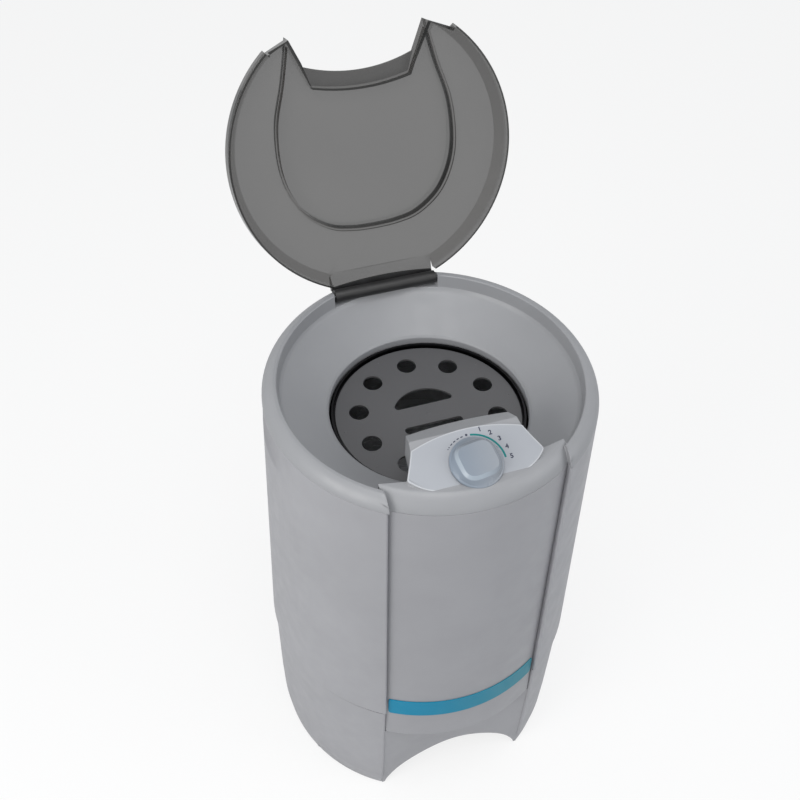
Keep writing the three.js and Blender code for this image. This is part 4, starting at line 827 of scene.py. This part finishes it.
panel_outer = [(foot_radius, panel_foot), (panel_radius(seam_z), seam_z), (panel_radius(panel_top), panel_top)]
panel_inner = beside(panel_outer, wall)
lip_z = panel_foot + wall
panel_section = rounded(
    [(lip_radius, panel_foot)] + panel_outer + [panel_inner[2], (panel_inner[0][0] + 0.6, lip_z), (lip_radius, lip_z)],
    [0, 2.4, 0, 0.4, 0, 0, 0], 5)
panel = turned("front_panel_moulding", panel_section, **front_turn)
for side in (1, -1):
    sliced(panel, (side * panel_side, 0, 0), (side, 0, 0))
worked(panel, box_tool(-120, 120, -172.2, 0, 170, 190))
cleaned(panel)
eased(panel, 0.9, 50, 3, tight=False)
finished(panel, "cabinet", [panel_grey], ["front_panel"])

# %% [markdown]
# ## Blue band
#
# A thin coloured film lies across the panel over the seam. Its corners are rounded in its own
# plane, so a turned strip is cut by a flat outline with soft corners that is pulled through it.

# %% The band
band_low, band_high, band_half = 236, 271, 107.5
film_back, film_front = 0.3, 1.4
band_section = [(panel_radius(band_low) + film_back, band_low), (panel_radius(band_low) + film_front, band_low),
                (panel_radius(band_high) + film_front, band_high), (panel_radius(band_high) + film_back, band_high)]
band = turned("front_band_film", rounded(band_section, [0, 0.35, 0.35, 0], 3), **front_turn)
low, high = band_low - 0.5, band_high + 0.5
band_outline = rounded([(-band_half, low), (band_half, low), (band_half, high), (-band_half, high)], 5, 8)
worked(band, pulled("band_form", band_outline, -260, 0, "Y"), "INTERSECT")
cleaned(band)
finished(band, "cabinet", [band_blue], ["front_band"])

# %% [markdown]
# ## Base
#
# The base is a skirt that tucks in slightly under the cabinet. In front it is flat, with an arch
# through which a bowl slides under the drain. It is made the same way as the cabinet, and then the
# flat wall, the shelf under the panel, the ceiling and the back of the bowl bay are added.

# %% Turn the skirt and cut its front
skirt = [(211, 2), (214.5, 30), (216, 80), (217.5, 234.8)]
groove_radius, skirt_top, rim_inner = 215.2, 239.7, 192
below, above = -20, 260


def skirt_radius(z):
    for (r0, z0), (r1, z1) in zip(skirt, skirt[1:]):
        if z <= z1:
            return r0 + (r1 - r0) * (z - z0) / (z1 - z0)
    return skirt[-1][0]


groove = [(groove_radius, skirt[-1][1]), (groove_radius, skirt_top)]
base_section = rounded(
    [(rim_inner, 2)] + skirt + groove + [(rim_inner, skirt_top)], [0, 1.5, 8, 30, 0.6, 0, 0.4, 0], 4)
base = turned("base_body", base_section, fine)
worked(base, corner_tool("base_cut", [2, 30, 80, 245], skirt_radius, panel_half))
print("base skirt has", len(base.data.polygons), "faces")

# %% Hollow the base and add its inner walls
core_line = [(0, -5), (skirt_radius(2) - wall, -5)] + [(skirt_radius(z) - wall, z) for z in (2, 30, 80)]
core_line += [(skirt_radius(240) - wall, 245), (0, 245)]
core = turned("core", core_line, fine, closed=False)
worked(core, front_tool(inner_half, below, above))
foot_ring = turned("foot_ring", [(172, 7.3), (230, 7.3), (230, 10.3), (172, 10.3)], fine)
worked(foot_ring, front_tool(inner_half, below, above))
worked(core, foot_ring)
worked(base, core)
platform = turned("platform", [(75, 196), (214.7, 196), (214.7, 200), (75, 200)], fine)
spigot_section = rounded([(211.9, 225.7), (214.9, 225.7), (214.9, 253.7), (211.9, 253.7)], [0, 0, 1, 1], 2)
spigot = turned("spigot", spigot_section, fine)
worked(platform, front_tool(panel_half + 0.01, below, above, -170))
worked(spigot, front_tool(inner_half + 0.3, below, above))
worked(base, platform, "UNION")
worked(base, spigot, "UNION")
front_wall = pulled("front_wall", [(-179, 2), (-183, 177.7), (-180, 177.7), (-176, 2)], -112.4, 112.4, "X")
shelf_line = [(-182.5, 174.7), (-182.5, 177.5), (-171, 177.5), (-171, 199), (-168, 199), (-168, 174.7)]
worked(front_wall, pulled("shelf", shelf_line, -112.7, 112.7, "X"), "UNION")
worked(base, front_wall, "UNION")
bay_line = [(0, 3), (skirt_radius(30) - 1.5, 3), (skirt_radius(150) - 1.5, 150), (0, 150)]
bay = turned("bay", bay_line, fine, closed=False)
bay_form = [(-181.5, 147), (-181.5, 150), (-92, 150), (-92, 7.3), (-95, 7.3), (-95, 147)]
worked(bay, pulled("bay_form", bay_form, -230, 230, "X"), "INTERSECT")
worked(base, bay, "UNION")
print("base has", len(base.data.polygons), "faces before its arch")

# %% Cut the arch and the openings of the base
arch_half, arch_high, arch_fullness, arch_foot = 110.2, 85, 0.7, -5
drain_y, drain_bore = -130, 21.7
mount_circle, mount_bore = 110, 4.6
gland_z, gland_bore = 120, 9.3
arch = []
for step in range(49):
    across = 1 - 2 * step / 48
    square = across * across
    arch.append((arch_half * across, arch_high * (1 - square) * (1 + arch_fullness * square * square)))
arch[0], arch[-1] = (arch_half, arch_foot), (-arch_half, arch_foot)
worked(base, pulled("arch", arch, -300, -171, "Y"))
worked(base, rod_tool(0, drain_y, 100, 250, drain_bore))
for angle in (90, 210, 330):
    worked(base, rod_tool(*on_circle(mount_circle, angle), 100, 250, mount_bore, 24))
worked(base, laid(rod_tool(0, 0, 0, 300, gland_bore), (-math.pi / 2, 0, 0), (0, 150, gland_z)))
cleaned(base)
# The faces of the groove take the black rubber finish: painted shade, a dark strip that stands for the thin shadow line
# under the cabinet's edge.
for face in base.data.polygons:
    x, y, z = (value / mm for value in face.center)
    face.material_index = int(215.1 < math.hypot(x, y) < 217.45 and 234.7 < z < 239.75)
print("faces in the dark groove:", sum(face.material_index for face in base.data.polygons))
finished(base, "cabinet", [body_grey, black_rubber], ["base_housing"])

# %% [markdown]
# ## Deck
#
# The deck is the funnel that guides the washing in, with a raised crest round it. A section of
# funnel, crest and outer bevel is turned; the front is cut out and replaced by a ledge that steps
# back with the panel; and the console pod rises out of the ledge. All of these are joined into one
# body before its edges are rounded, so that the radius runs on from one form to the next.

# %% Sections of the rim and of the front ledge
crest_z, crest_outer, crest_inner = 698, 193.5, 189


def bevel_line(foot_r, foot_z, top_r, top_z, steps=10):
    fullness = 1.3
    line = []
    for step in range(steps + 1):
        turn = math.pi / 2 * step / steps
        out, rise = math.cos(turn) ** fullness, math.sin(turn) ** fullness
        line.append((top_r + (foot_r - top_r) * out, foot_z + (top_z - foot_z) * rise))
    return line


funnel = [(187, 680), (184, 674.5), (175, 669), (129.6, 644), (126.6, 641), (126.6, 628)]
rim_line = bevel_line(rim_radius, rim_z, crest_outer, crest_z) + [(crest_inner, crest_z)] + funnel
rim_under = beside(rim_line, wall)
rim_radii = [0.8] + [0] * 9 + [2.2, 1.8, 3, 14, 10, 3, 3, 0.6]
rim_section = rounded(rim_line + list(reversed(rim_under)), rim_radii + [0] * len(rim_under), 4)
front_line = bevel_line(200, panel_top, 181.5, crest_z)
print("rim section has", len(rim_section), "points")

# %% Plans of the ledge, the face and the pod
face_slope, face_back, face_back_z = 0.318, -121, 714
pod_back, pod_foot_y, pod_foot_z = -109.4, -84, 704


def ledge_y(x):
    return -142.2 - 0.2 * (116.5 - abs(x))


def face_z(y):
    return face_back_z + face_slope * (y - face_back)


face_side = [(68.5, -121), (74, -134), (83, -152), (66, -168.5)]
nose = [(83, -152), (81, -157), (66, -168.5), (36, -179.8), (0, -184.3)]
nose = smoothed(nose + mirrored(nose)[1:])
face_plan = bow(68.5, face_back, pod_back)[::-1] + face_side[1:2] + nose + mirrored(face_side[1:2])
pod_plan = bow(64, -91, pod_foot_y)[::-1] + face_side[:2] + nose + mirrored(face_side[:2])
print("face plan", len(face_plan), "points, pod plan", len(pod_plan), "points")

# %% Join rim, ledge and pod
deck_low, deck_high = 600, 760
end_inner = panel_half - 0.1
deck = turned("deck_moulding", rim_section, coarse)
front_box = front_tool(panel_half, deck_low, deck_high)
worked(front_box, rod_tool(0, 0, 590, 770, 175, coarse))
worked(deck, front_box)
over_funnel = [(0, 642), (126.6, 642), (129.6, 642.5), (175, 667.5), (175, panel_top)] + front_line + [(0, crest_z)]
ledge = turned("ledge", over_funnel, coarse, closed=False)
ledge_half = [(inner_half, -300), (inner_half, ledge_y(114)), (39, ledge_y(39))]
worked(ledge, pulled("ledge_form", ledge_half + mirrored(ledge_half), deck_low, deck_high), "INTERSECT")
worked(ledge, box_tool(end_inner, 150, -300, 0, deck_low, rim_z))
worked(ledge, box_tool(-150, -end_inner, -300, 0, deck_low, rim_z))
end_section = bevel_line(207.85, 681.15, 193.4, 697.85) + [(189.1, 697.85), (187.1, 681.15)]
ends = turned("ends", end_section, coarse)
end_boxes = [box_tool(*sides, -300, 0, rim_z, deck_high) for sides in ((end_inner, 114), (-114, -end_inner))]
worked(ends, joined(*end_boxes), "INTERSECT")
worked(deck, ledge, "UNION")
worked(deck, ends, "UNION")
print("deck with ledge", len(deck.data.polygons), "faces")

# %% The pod with its sloping top
back_fall = (face_z(pod_back) - pod_foot_z) / (pod_foot_y - pod_back)


def roofed(piece, drop):
    """Cuts a piece off under the slope of the face and under the fall behind it."""
    for slope in (face_slope, -back_fall):
        sliced(piece, (0, pod_back, face_z(pod_back) - drop), (0, -slope, 1))
    return piece


pod = roofed(pulled("pod", rounded(pod_plan, 1.5, 3), 672, 740), 1.8)
worked(deck, pod, "UNION")
print("deck with pod", len(deck.data.polygons), "faces")

# %% Hinge notch, rounding, and the hollow underneath
notch_block = box_tool(-75, 75, 171, 207, 660, deck_high)
solid_line = bevel_line(207.8, 681.2, 193.4, 697.8) + [(189.2, 697.8), (187.2, 676), (204.6, 676), (204.6, 681.2)]
worked(notch_block, turned("rim_solid", solid_line, coarse), "INTERSECT")
worked(deck, notch_block, "UNION")
worked(deck, box_tool(-72, 72, 160, 201, 679, deck_high))
cleaned(deck)
eased(deck, 1.0, 38, 3, tight=False)
under_pod = roofed(pulled("under_pod", drawn_in(pod_plan, wall), 660, 740), 5.3)
above_line = [(0, 675), (140, 675), (175, 675), (190, 673), (197, 673), (197, 740), (0, 740)]
worked(under_pod, turned("above_funnel", above_line, coarse, closed=False), "INTERSECT")
worked(deck, under_pod)
print("deck hollowed", len(deck.data.polygons), "faces")
cleaned(deck)
finished(deck, "cabinet", [deck_grey], ["top_deck"])

# %% [markdown]
# ## Dial plate
#
# The console's face is a pale film on a thin plate, cut to the pod's outline, with a lighter line
# round its edge. It is drawn flat, its border is an inset, and then it is tilted with the face.

# %% Tilting a piece with the console
dial_y = -152.5
tilt = math.atan(face_slope)


def tilted(piece):
    return settled(laid(piece, (tilt, 0, 0), (0, dial_y, face_z(dial_y))))


print("the console leans by", round(math.degrees(tilt), 1), "degrees")

# %% The plate and its border
plate_thick, border = 1.5, 1.1
lengthened = math.hypot(1, face_slope)
flat_plan = rounded([(x, (y - dial_y) * lengthened) for x, y in drawn_in(face_plan, 0.5)], 2.2, 4)
plate = pulled("dial_plate_film", flat_plan, -plate_thick, 0)
worked(plate, rod_tool(0, 0, -5, 5, 4.2, 32))
eased(plate, 0.5, 50, 3)
pick(plate)
bpy.ops.object.mode_set(mode="EDIT")
bpy.ops.mesh.select_mode(type="FACE")
bpy.ops.mesh.select_all(action="DESELECT")
select_where(plate, "faces", lambda face: face.normal.z > 0.99 and face.calc_center_median().z > -0.1 * mm)
bpy.ops.mesh.inset(thickness=border * mm, use_boundary=True)
bpy.ops.object.mode_set(mode="OBJECT")
for face in plate.data.polygons:
    face.material_index = 0 if face.select else 1
tilted(plate)
finished(plate, "cabinet", [face_pale, face_border], ["dial_plate"])

# %% [markdown]
# The printed scale is a teal arc, some short dashes, a dot and plain numbers. Each is a real, very
# thin layer of ink that stands a tenth of a millimetre proud of the film.

# %% Ink on the dial
ink_low, ink_high = -0.02, 0.1
arc_inner, arc_outer, dash_circle = 34.5, 36.8, 35.6
dash_half_width = 0.65
dot_y, dot_radius = 36.2, 1.5
dash_lengths = ((10, 3.2), (18.5, 3.2), (27, 3.4), (35.5, 3.4), (43, 1.6), (47.5, 1.4))
arc_section = [(arc_inner, ink_low), (arc_outer, ink_low), (arc_outer, ink_high), (arc_inner, ink_high)]
arc = tilted(turned("dial_arc_ink", arc_section, 48, start=-2, sweep=85))
finished(arc, "cabinet", [teal_ink])
marks = []
for count, (angle, long) in enumerate(dash_lengths):
    x, y = dash_half_width, long / 2
    dash = pulled(f"dash_{count}", rounded([(-x, -y), (x, -y), (x, y), (-x, y)], 0.5, 2), ink_low, ink_high)
    angle += 90
    marks.append(settled(laid(dash, (0, 0, math.radians(angle)), (*on_circle(dash_circle, angle), 0))))
marks.append(pulled("dot", [on_circle(dot_radius, 15 * step, dot_y) for step in range(24)], ink_low, ink_high))
ink = joined(*marks)
ink.name = "dial_marks_ink"
finished(tilted(ink), "cabinet", [dark_ink])

# %% Plain numbers round the arc
number_size, number_circle, number_half_thick, stroke_more = 8, 43, 0.05, 0.3
numbers = []
for count, angle in enumerate((24, 41, 58, 75, 92)):
    deselect()
    bpy.ops.object.text_add(location=(0, 0, 0))
    figure = bpy.context.object
    figure.data.body = str(count + 1)
    figure.data.size = number_size * mm
    figure.data.offset = stroke_more * mm
    figure.data.align_x = "CENTER"
    figure.data.align_y = "CENTER"
    figure.data.extrude = number_half_thick * mm
    figure.data.resolution_u = 3
    bpy.ops.object.convert(target="MESH")
    numbers.append(settled(laid(figure, (0, 0, 0), (*on_circle(number_circle, 90 - angle), number_half_thick))))
numerals = joined(*numbers)
numerals.name = "dial_numbers_ink"
cleaned(numerals, 0.005)
finished(tilted(numerals), "cabinet", [dark_ink])

# %% [markdown]
# ## Knob
#
# The knob has a round skirt and a soft square crown with sloping sides. Rings of the same number of
# points are drawn from the round foot to the square top and bridged, so the form flows from one to
# the other. The first and last ring are filled, and the shaft's bore is cut from below.

# %% Loops from round to square
ring_points = 64
crown_turn = math.radians(8)


def knob_loop(half_x, half_y, power):
    loop = []
    for step in range(ring_points):
        way = 2 * math.pi * step / ring_points
        cosine, sine = math.cos(way), math.sin(way)
        x = half_x * math.copysign(abs(cosine) ** (2 / power), cosine)
        y = half_y * math.copysign(abs(sine) ** (2 / power), sine)
        loop.append((x * math.cos(crown_turn) - y * math.sin(crown_turn),
                     x * math.sin(crown_turn) + y * math.cos(crown_turn)))
    return loop


def in_rings(edge, first):
    """Tells whether an edge runs along one of the two rings that start at a first point."""
    low, high = sorted(point.index for point in edge.verts)
    return first <= low and high < first + 2 * ring_points and low // ring_points == high // ring_points


knob_rings = [
    (4.0, 4.0, 2, 0.9), (31.2, 31.2, 2, 0.9), (31.8, 31.8, 2, 1.1), (32, 32, 2, 1.6), (32, 32, 2, 3.2),
    (31.7, 31.7, 2, 4.0), (31.0, 31.0, 2, 4.6), (29.6, 29.3, 2.1, 5.2), (27.0, 26.0, 2.6, 8.2),
    (24.9, 23.4, 3.2, 11.6), (24.4, 22.9, 3.3, 12.2), (21.4, 19.8, 3.7, 14.7), (20.8, 19.2, 3.8, 15.0),
]
print("the knob has", len(knob_rings), "rings of", ring_points, "points")

# %% Bridge the rings and bore the knob
rings = []
for count, (half_x, half_y, power, z) in enumerate(knob_rings):
    ring = drawn(f"knob_ring_{count}", [(x, y, z) for x, y in knob_loop(half_x, half_y, power)])
    bpy.ops.object.mode_set(mode="OBJECT")
    rings.append(ring)
knob = joined(*rings)
knob.name = "knob_cap"
pick(knob)
bpy.ops.object.mode_set(mode="EDIT")
bpy.ops.mesh.select_mode(type="EDGE")
for first in range(0, ring_points * (len(knob_rings) - 1), ring_points):
    bpy.ops.mesh.select_all(action="DESELECT")
    select_where(knob, "edges", lambda edge: in_rings(edge, first))
    bpy.ops.mesh.bridge_edge_loops()
bpy.ops.mesh.select_all(action="DESELECT")
select_where(knob, "edges", lambda edge: edge.is_boundary)
bpy.ops.mesh.edge_face_add()
made_whole(knob)
worked(knob, rod_tool(0, 0, -2, 12, 3.3, 32))
# The bevel faces round the crown take the finish with the painted highlight.
for face in knob.data.polygons:
    face.material_index = int(11.9 * mm < face.center.z < 15.05 * mm and face.normal.z < 0.93)
finished(tilted(knob), "knob", [knob_grey, knob_bevel_highlight], ["timer_knob"], angle=30)

# %% [markdown]
# ## Basket cover
#
# A loose dark disc lies in the basket's mouth. It has ten round holes near its rim and two half-moon
# slots, all with a small light radius. The edge rounding gives its new faces a lighter finish of
# their own: partly wear, and partly a painted highlight where the rims catch the light.

# %% The outline of a slot
def half_moon(half, edge, rise, corner):
    radius = (half * half + rise * rise) / (2 * rise)
    centre = edge + rise - radius
    turn_y = edge + corner
    turn_x = math.sqrt((radius - corner) ** 2 - (turn_y - centre) ** 2)
    meet = math.atan2(turn_y - centre, turn_x)
    ways = [-math.pi / 2 + (meet + math.pi / 2) * i / 8 for i in range(9)]
    end = [(turn_x + corner * math.cos(a), turn_y + corner * math.sin(a)) for a in ways]
    ways = [meet + (math.pi - 2 * meet) * i / 28 for i in range(1, 28)]
    return end + [(radius * math.cos(a), centre + radius * math.sin(a)) for a in ways] + mirrored(end)


slot_line = half_moon(42, 16, 28, 5)
print("a slot's outline has", len(slot_line), "points")

# %% The perforated disc
disc_radius, disc_low, disc_high, disc_corner = 119, 626.6, 629.6, 0.8
holes, hole_circle, hole_radius = 10, 88.5, 12.7
pip_circle, pip_foot = 110.5, 629.3
tool_low, tool_high = 600, 650
disc_line = [(0, disc_low), (disc_radius, disc_low), (disc_radius, disc_high), (0, disc_high)]
disc_section = rounded(disc_line, [0, disc_corner, disc_corner, 0], 3)
disc = turned("basket_cover_disc", disc_section, coarse, closed=False)
for count in range(holes):
    place = on_circle(hole_circle, -18 + 36 * count)
    worked(disc, rod_tool(*place, tool_low, tool_high, hole_radius))
for side in (1, -1):
    worked(disc, pulled("slot", [(x, side * y) for x, y in slot_line], tool_low, tool_high))
cleaned(disc)
# The rounding's faces take the lighter rim finish, partly wear and partly a painted highlight.
eased(disc, 0.7, 60, 3, slot=1)
pip_line = [(0, pip_foot), (1.5, pip_foot), (1.5, 629.7), (1.1, 630.0), (0, 630.05)]
pips = []
for count in range(holes):
    pip = turned(f"pip_{count}", pip_line, 12, closed=False)
    pips.append(settled(laid(pip, (0, 0, 0), (*on_circle(pip_circle, 36 * count), 0))))
centre_line = [(0, pip_foot), (2.6, pip_foot), (2.6, 629.7), (2.0, 630.1), (0, 630.2)]
pips.append(turned("pip_centre", centre_line, 16, closed=False))
worked(disc, joined(*pips), "UNION")
finished(disc, "cover", [disc_dark, disc_rim_wear_and_highlight], ["basket_cover"])

# %% [markdown]
# ## Lid
#
# The lid is a shallow dome with a raised panel whose outline is a wide U, and its front is cut back
# in a bow so that it clears the console. It is modelled closed, in its own place on the deck, and
# then swung open about the hinge line.

# %% Outline of the lid in plan
lid_wall = 2.8
step_x, step_y = 117.4, -135.5
horn_x, horn_y = 88, -147.2
hinge_y, hinge_z = 182.9, 690.4


def lid_outline(outer):
    start = math.atan2(136.5, 117.4)
    radius = 185.5 if outer else 181.7
    step_in = 0 if outer else lid_wall
    sweep = [-start + (math.pi + 2 * start) * i / 140 for i in range(141)]
    edge = bow(71, -110, -97) if outer else bow(64, -87 + lid_wall, -79 + lid_wall)
    plan = [(radius * math.cos(a), radius * math.sin(a)) for a in sweep]
    plan += [(-step_x + step_in, step_y + step_in), (-horn_x - step_in, horn_y + step_in)]
    plan += edge[::-1]
    plan += [(horn_x + step_in, horn_y + step_in), (step_x - step_in, step_y + step_in)]
    return plan


u_shares = [
    (0.752, -1.423), (0.855, -0.923), (0.974, -0.462), (1, 0), (0.94, 0.365), (0.778, 0.692), (0.513, 0.913),
    (0.25, 0.985), (0, 1),
]
u_half_width, u_half_depth = 117, 104
u_half = smoothed([(u_half_width * x, u_half_depth * y) for x, y in u_shares])
u_plan = u_half + mirrored(u_half)[1:]
print("lid outline", len(lid_outline(True)), "points, raised panel", len(u_plan))

# %% The lid's outer form and its hollow
lid_low, lid_high = 600, 760
room_foot, room_top = 675, 717.2
dome_line = [(182.9, 680.6), (184.5, 697), (172, 707), (117, 710), (0, 710)]
dome_section = rounded([(0, 680.6)] + dome_line, [0, 0.6, 2.4, 2, 0, 0], 5)
dome = turned("lid_cover", dome_section, fine, closed=False)
worked(dome, eased(pulled("raised", u_plan, 704.2, 720), 0.9, 60, 2, tight=False), "UNION")
worked(dome, pulled("lid_form", lid_outline(True), lid_low, lid_high), "INTERSECT")
inner_line = beside(dome_line, lid_wall)
inner_line[0] = (inner_line[0][0], room_foot)
inner_line[-1] = (0, inner_line[-1][1])
room = turned("lid_room", [(0, room_foot)] + inner_line, fine, closed=False)
worked(room, pulled("raised_room", drawn_in(u_plan, lid_wall), room_foot, room_top), "UNION")
worked(room, pulled("room_form", lid_outline(False), lid_low, lid_high), "INTERSECT")
worked(dome, room)
print("lid shell", len(dome.data.polygons), "faces")

# %% The lid's cut front, its rib and its hinge tab
rib_low, rib_high = 704.4, 708
horn_cut = [(-149, 693), (-98, 703.6), (-71.2, 703.6), (-71.2, lid_low), (-149, lid_low)]
under_lip = bow(64, -87, -79) + [(-85.2, -149), (85.2, -149)]
worked(dome, pulled("under_lip", under_lip, lid_low, 717.1))
worked(dome, front_tool(114.6, lid_low, 693, -132.7))
worked(dome, pulled("horn_cut", horn_cut, -91, 91, "X"))
rib = pulled("u_rib", drawn_in(u_plan, -1.4), rib_low, rib_high)
worked(rib, pulled("rib_core", drawn_in(u_plan, 2.7), 700, 712))
worked(rib, pulled("rib_form", lid_outline(False), lid_low, lid_high), "INTERSECT")
worked(dome, rib, "UNION")
worked(dome, box_tool(-70.2, 70.2, 158, 200, 660, 740))
worked(dome, box_tool(-71, 71, 156, 181, 704.3, 707.1), "UNION")
cleaned(dome)
print("lid with its rib", len(dome.data.polygons), "faces")

# %% The hinge barrel
barrel_half, barrel_radius, pin_bore = 69.8, 8.5, 3.3
across = (0, math.pi / 2, 0)
# The bowed tab over the barrel is a near-black sheet: partly the real hinge, and partly painted shade that stands for
# the dark gap at the lid's end.
shade_tab_plan = bow(70, 176, 171) + [(-70, 184.5), (70, 184.5)]
hinge = pulled("lid_hinge_barrel", shade_tab_plan, 700.5, 704.2)
worked(hinge, box_tool(-69.9, 69.9, 181.7, 184.4, hinge_z, 704.1), "UNION")
barrel = rod_tool(0, 0, -barrel_half, barrel_half, barrel_radius)
worked(hinge, laid(barrel, across, (0, hinge_y, hinge_z)), "UNION")
for side in (1, -1):
    bore = rod_tool(0, 0, -7, 7, pin_bore, 24)
    worked(hinge, laid(bore, across, (side * 67.7, hinge_y, hinge_z)))
cleaned(hinge)
print("hinge barrel", len(hinge.data.polygons), "faces")

# %% The darker narrow faces
for face in dome.data.polygons:
    x, y, z = (value / mm for value in face.center)
    out, lean = math.hypot(x, y), face.normal.z
    in_cut = abs(x) < 88.6 and y < -75
    foot = lean < -0.7 and ((out > 178 and z < 690) or z < 694 or (in_cut and z < 704))
    steep = abs(lean) < 0.6 and out < 174 and z > 690
    cone = out > 171.5 and 0.3 < abs(lean) < 0.95
    under_rib = lean < -0.7 and 704.3 < z < 704.5 and y < 150
    strip = in_cut and lean < -0.7 and z > 716
    if strip:
        face.material_index = 3
    elif foot or (steep and not in_cut):
        face.material_index = 1
    else:
        face.material_index = 2 if cone or steep or under_rib else 0
for slot in (1, 2, 3):
    print("lid faces of slot", slot, "are", sum(face.material_index == slot for face in dome.data.polygons))

# %% Swing the lid open
swing = Matrix.Rotation(math.radians(-109.5), 4, "X")
pivot = Vector((0, hinge_y * mm, hinge_z * mm))
for piece in (dome, hinge):
    piece.matrix_world = Matrix.Translation(pivot) @ swing @ Matrix.Translation(-pivot)
    settled(piece)
finished(dome, "lid", [lid_smoke, lid_edge, lid_band, lid_strip], ["lid_shell"])
finished(hinge, "lid", [hinge_black_and_shade])

# %% [markdown]
# ## What lies inside
#
# The tub, the basket, the motor and the brake keep the shape that the frame gives them. Each gets
# the finish of its real material, so that the machine reads right when its lid or cover is lifted.

# %% Finishes of the inner pieces
inner_finishes = {
    basket_steel: ["basket"],
    steel: ["drive_shaft", "rotor", "hinge_pin_left", "hinge_pin_right", "upper_bearing", "lower_bearing",
            "brake_pivot_pin", "brake_spring"],
    zinc: ["hub_nut", "timer_shaft", "motor_plate", "mount_bolt_1", "mount_bolt_2", "mount_bolt_3", "brake_bracket",
           "brake_lever", "capacitor_clamp", "cover_screw_1", "cover_screw_2", "cover_screw_3", "cover_screw_4"],
    cast_grey: ["basket_hub", "brake_drum", "motor_housing", "motor_end_bell"],
    tub_white: ["outer_tub", "timer_body", "capacitor"],
    winding: ["stator"],
    black_rubber: ["tub_gasket", "shaft_seal", "rubber_mount_1", "rubber_mount_2", "rubber_mount_3",
                   "rubber_foot_1", "rubber_foot_2", "rubber_foot_3", "rubber_foot_4"],
    black_plastic: ["drain_spout", "cooling_fan", "brake_cable", "wiring_harness", "cord_gland", "lid_switch_body",
                    "switch_plunger", "bottom_cover"],
    pad_lining: ["brake_pad"],
}
for finish, names in inner_finishes.items():
    for name in names:
        nodes[name].data.materials.clear()
        nodes[name].data.materials.append(finish)
    print(finish.name, "on", len(names), "pieces")
covered = {name for names in inner_finishes.values() for name in names}
print("pieces still without a finish:", [name for name in nodes if name not in covered and not nodes[name].hide_render])
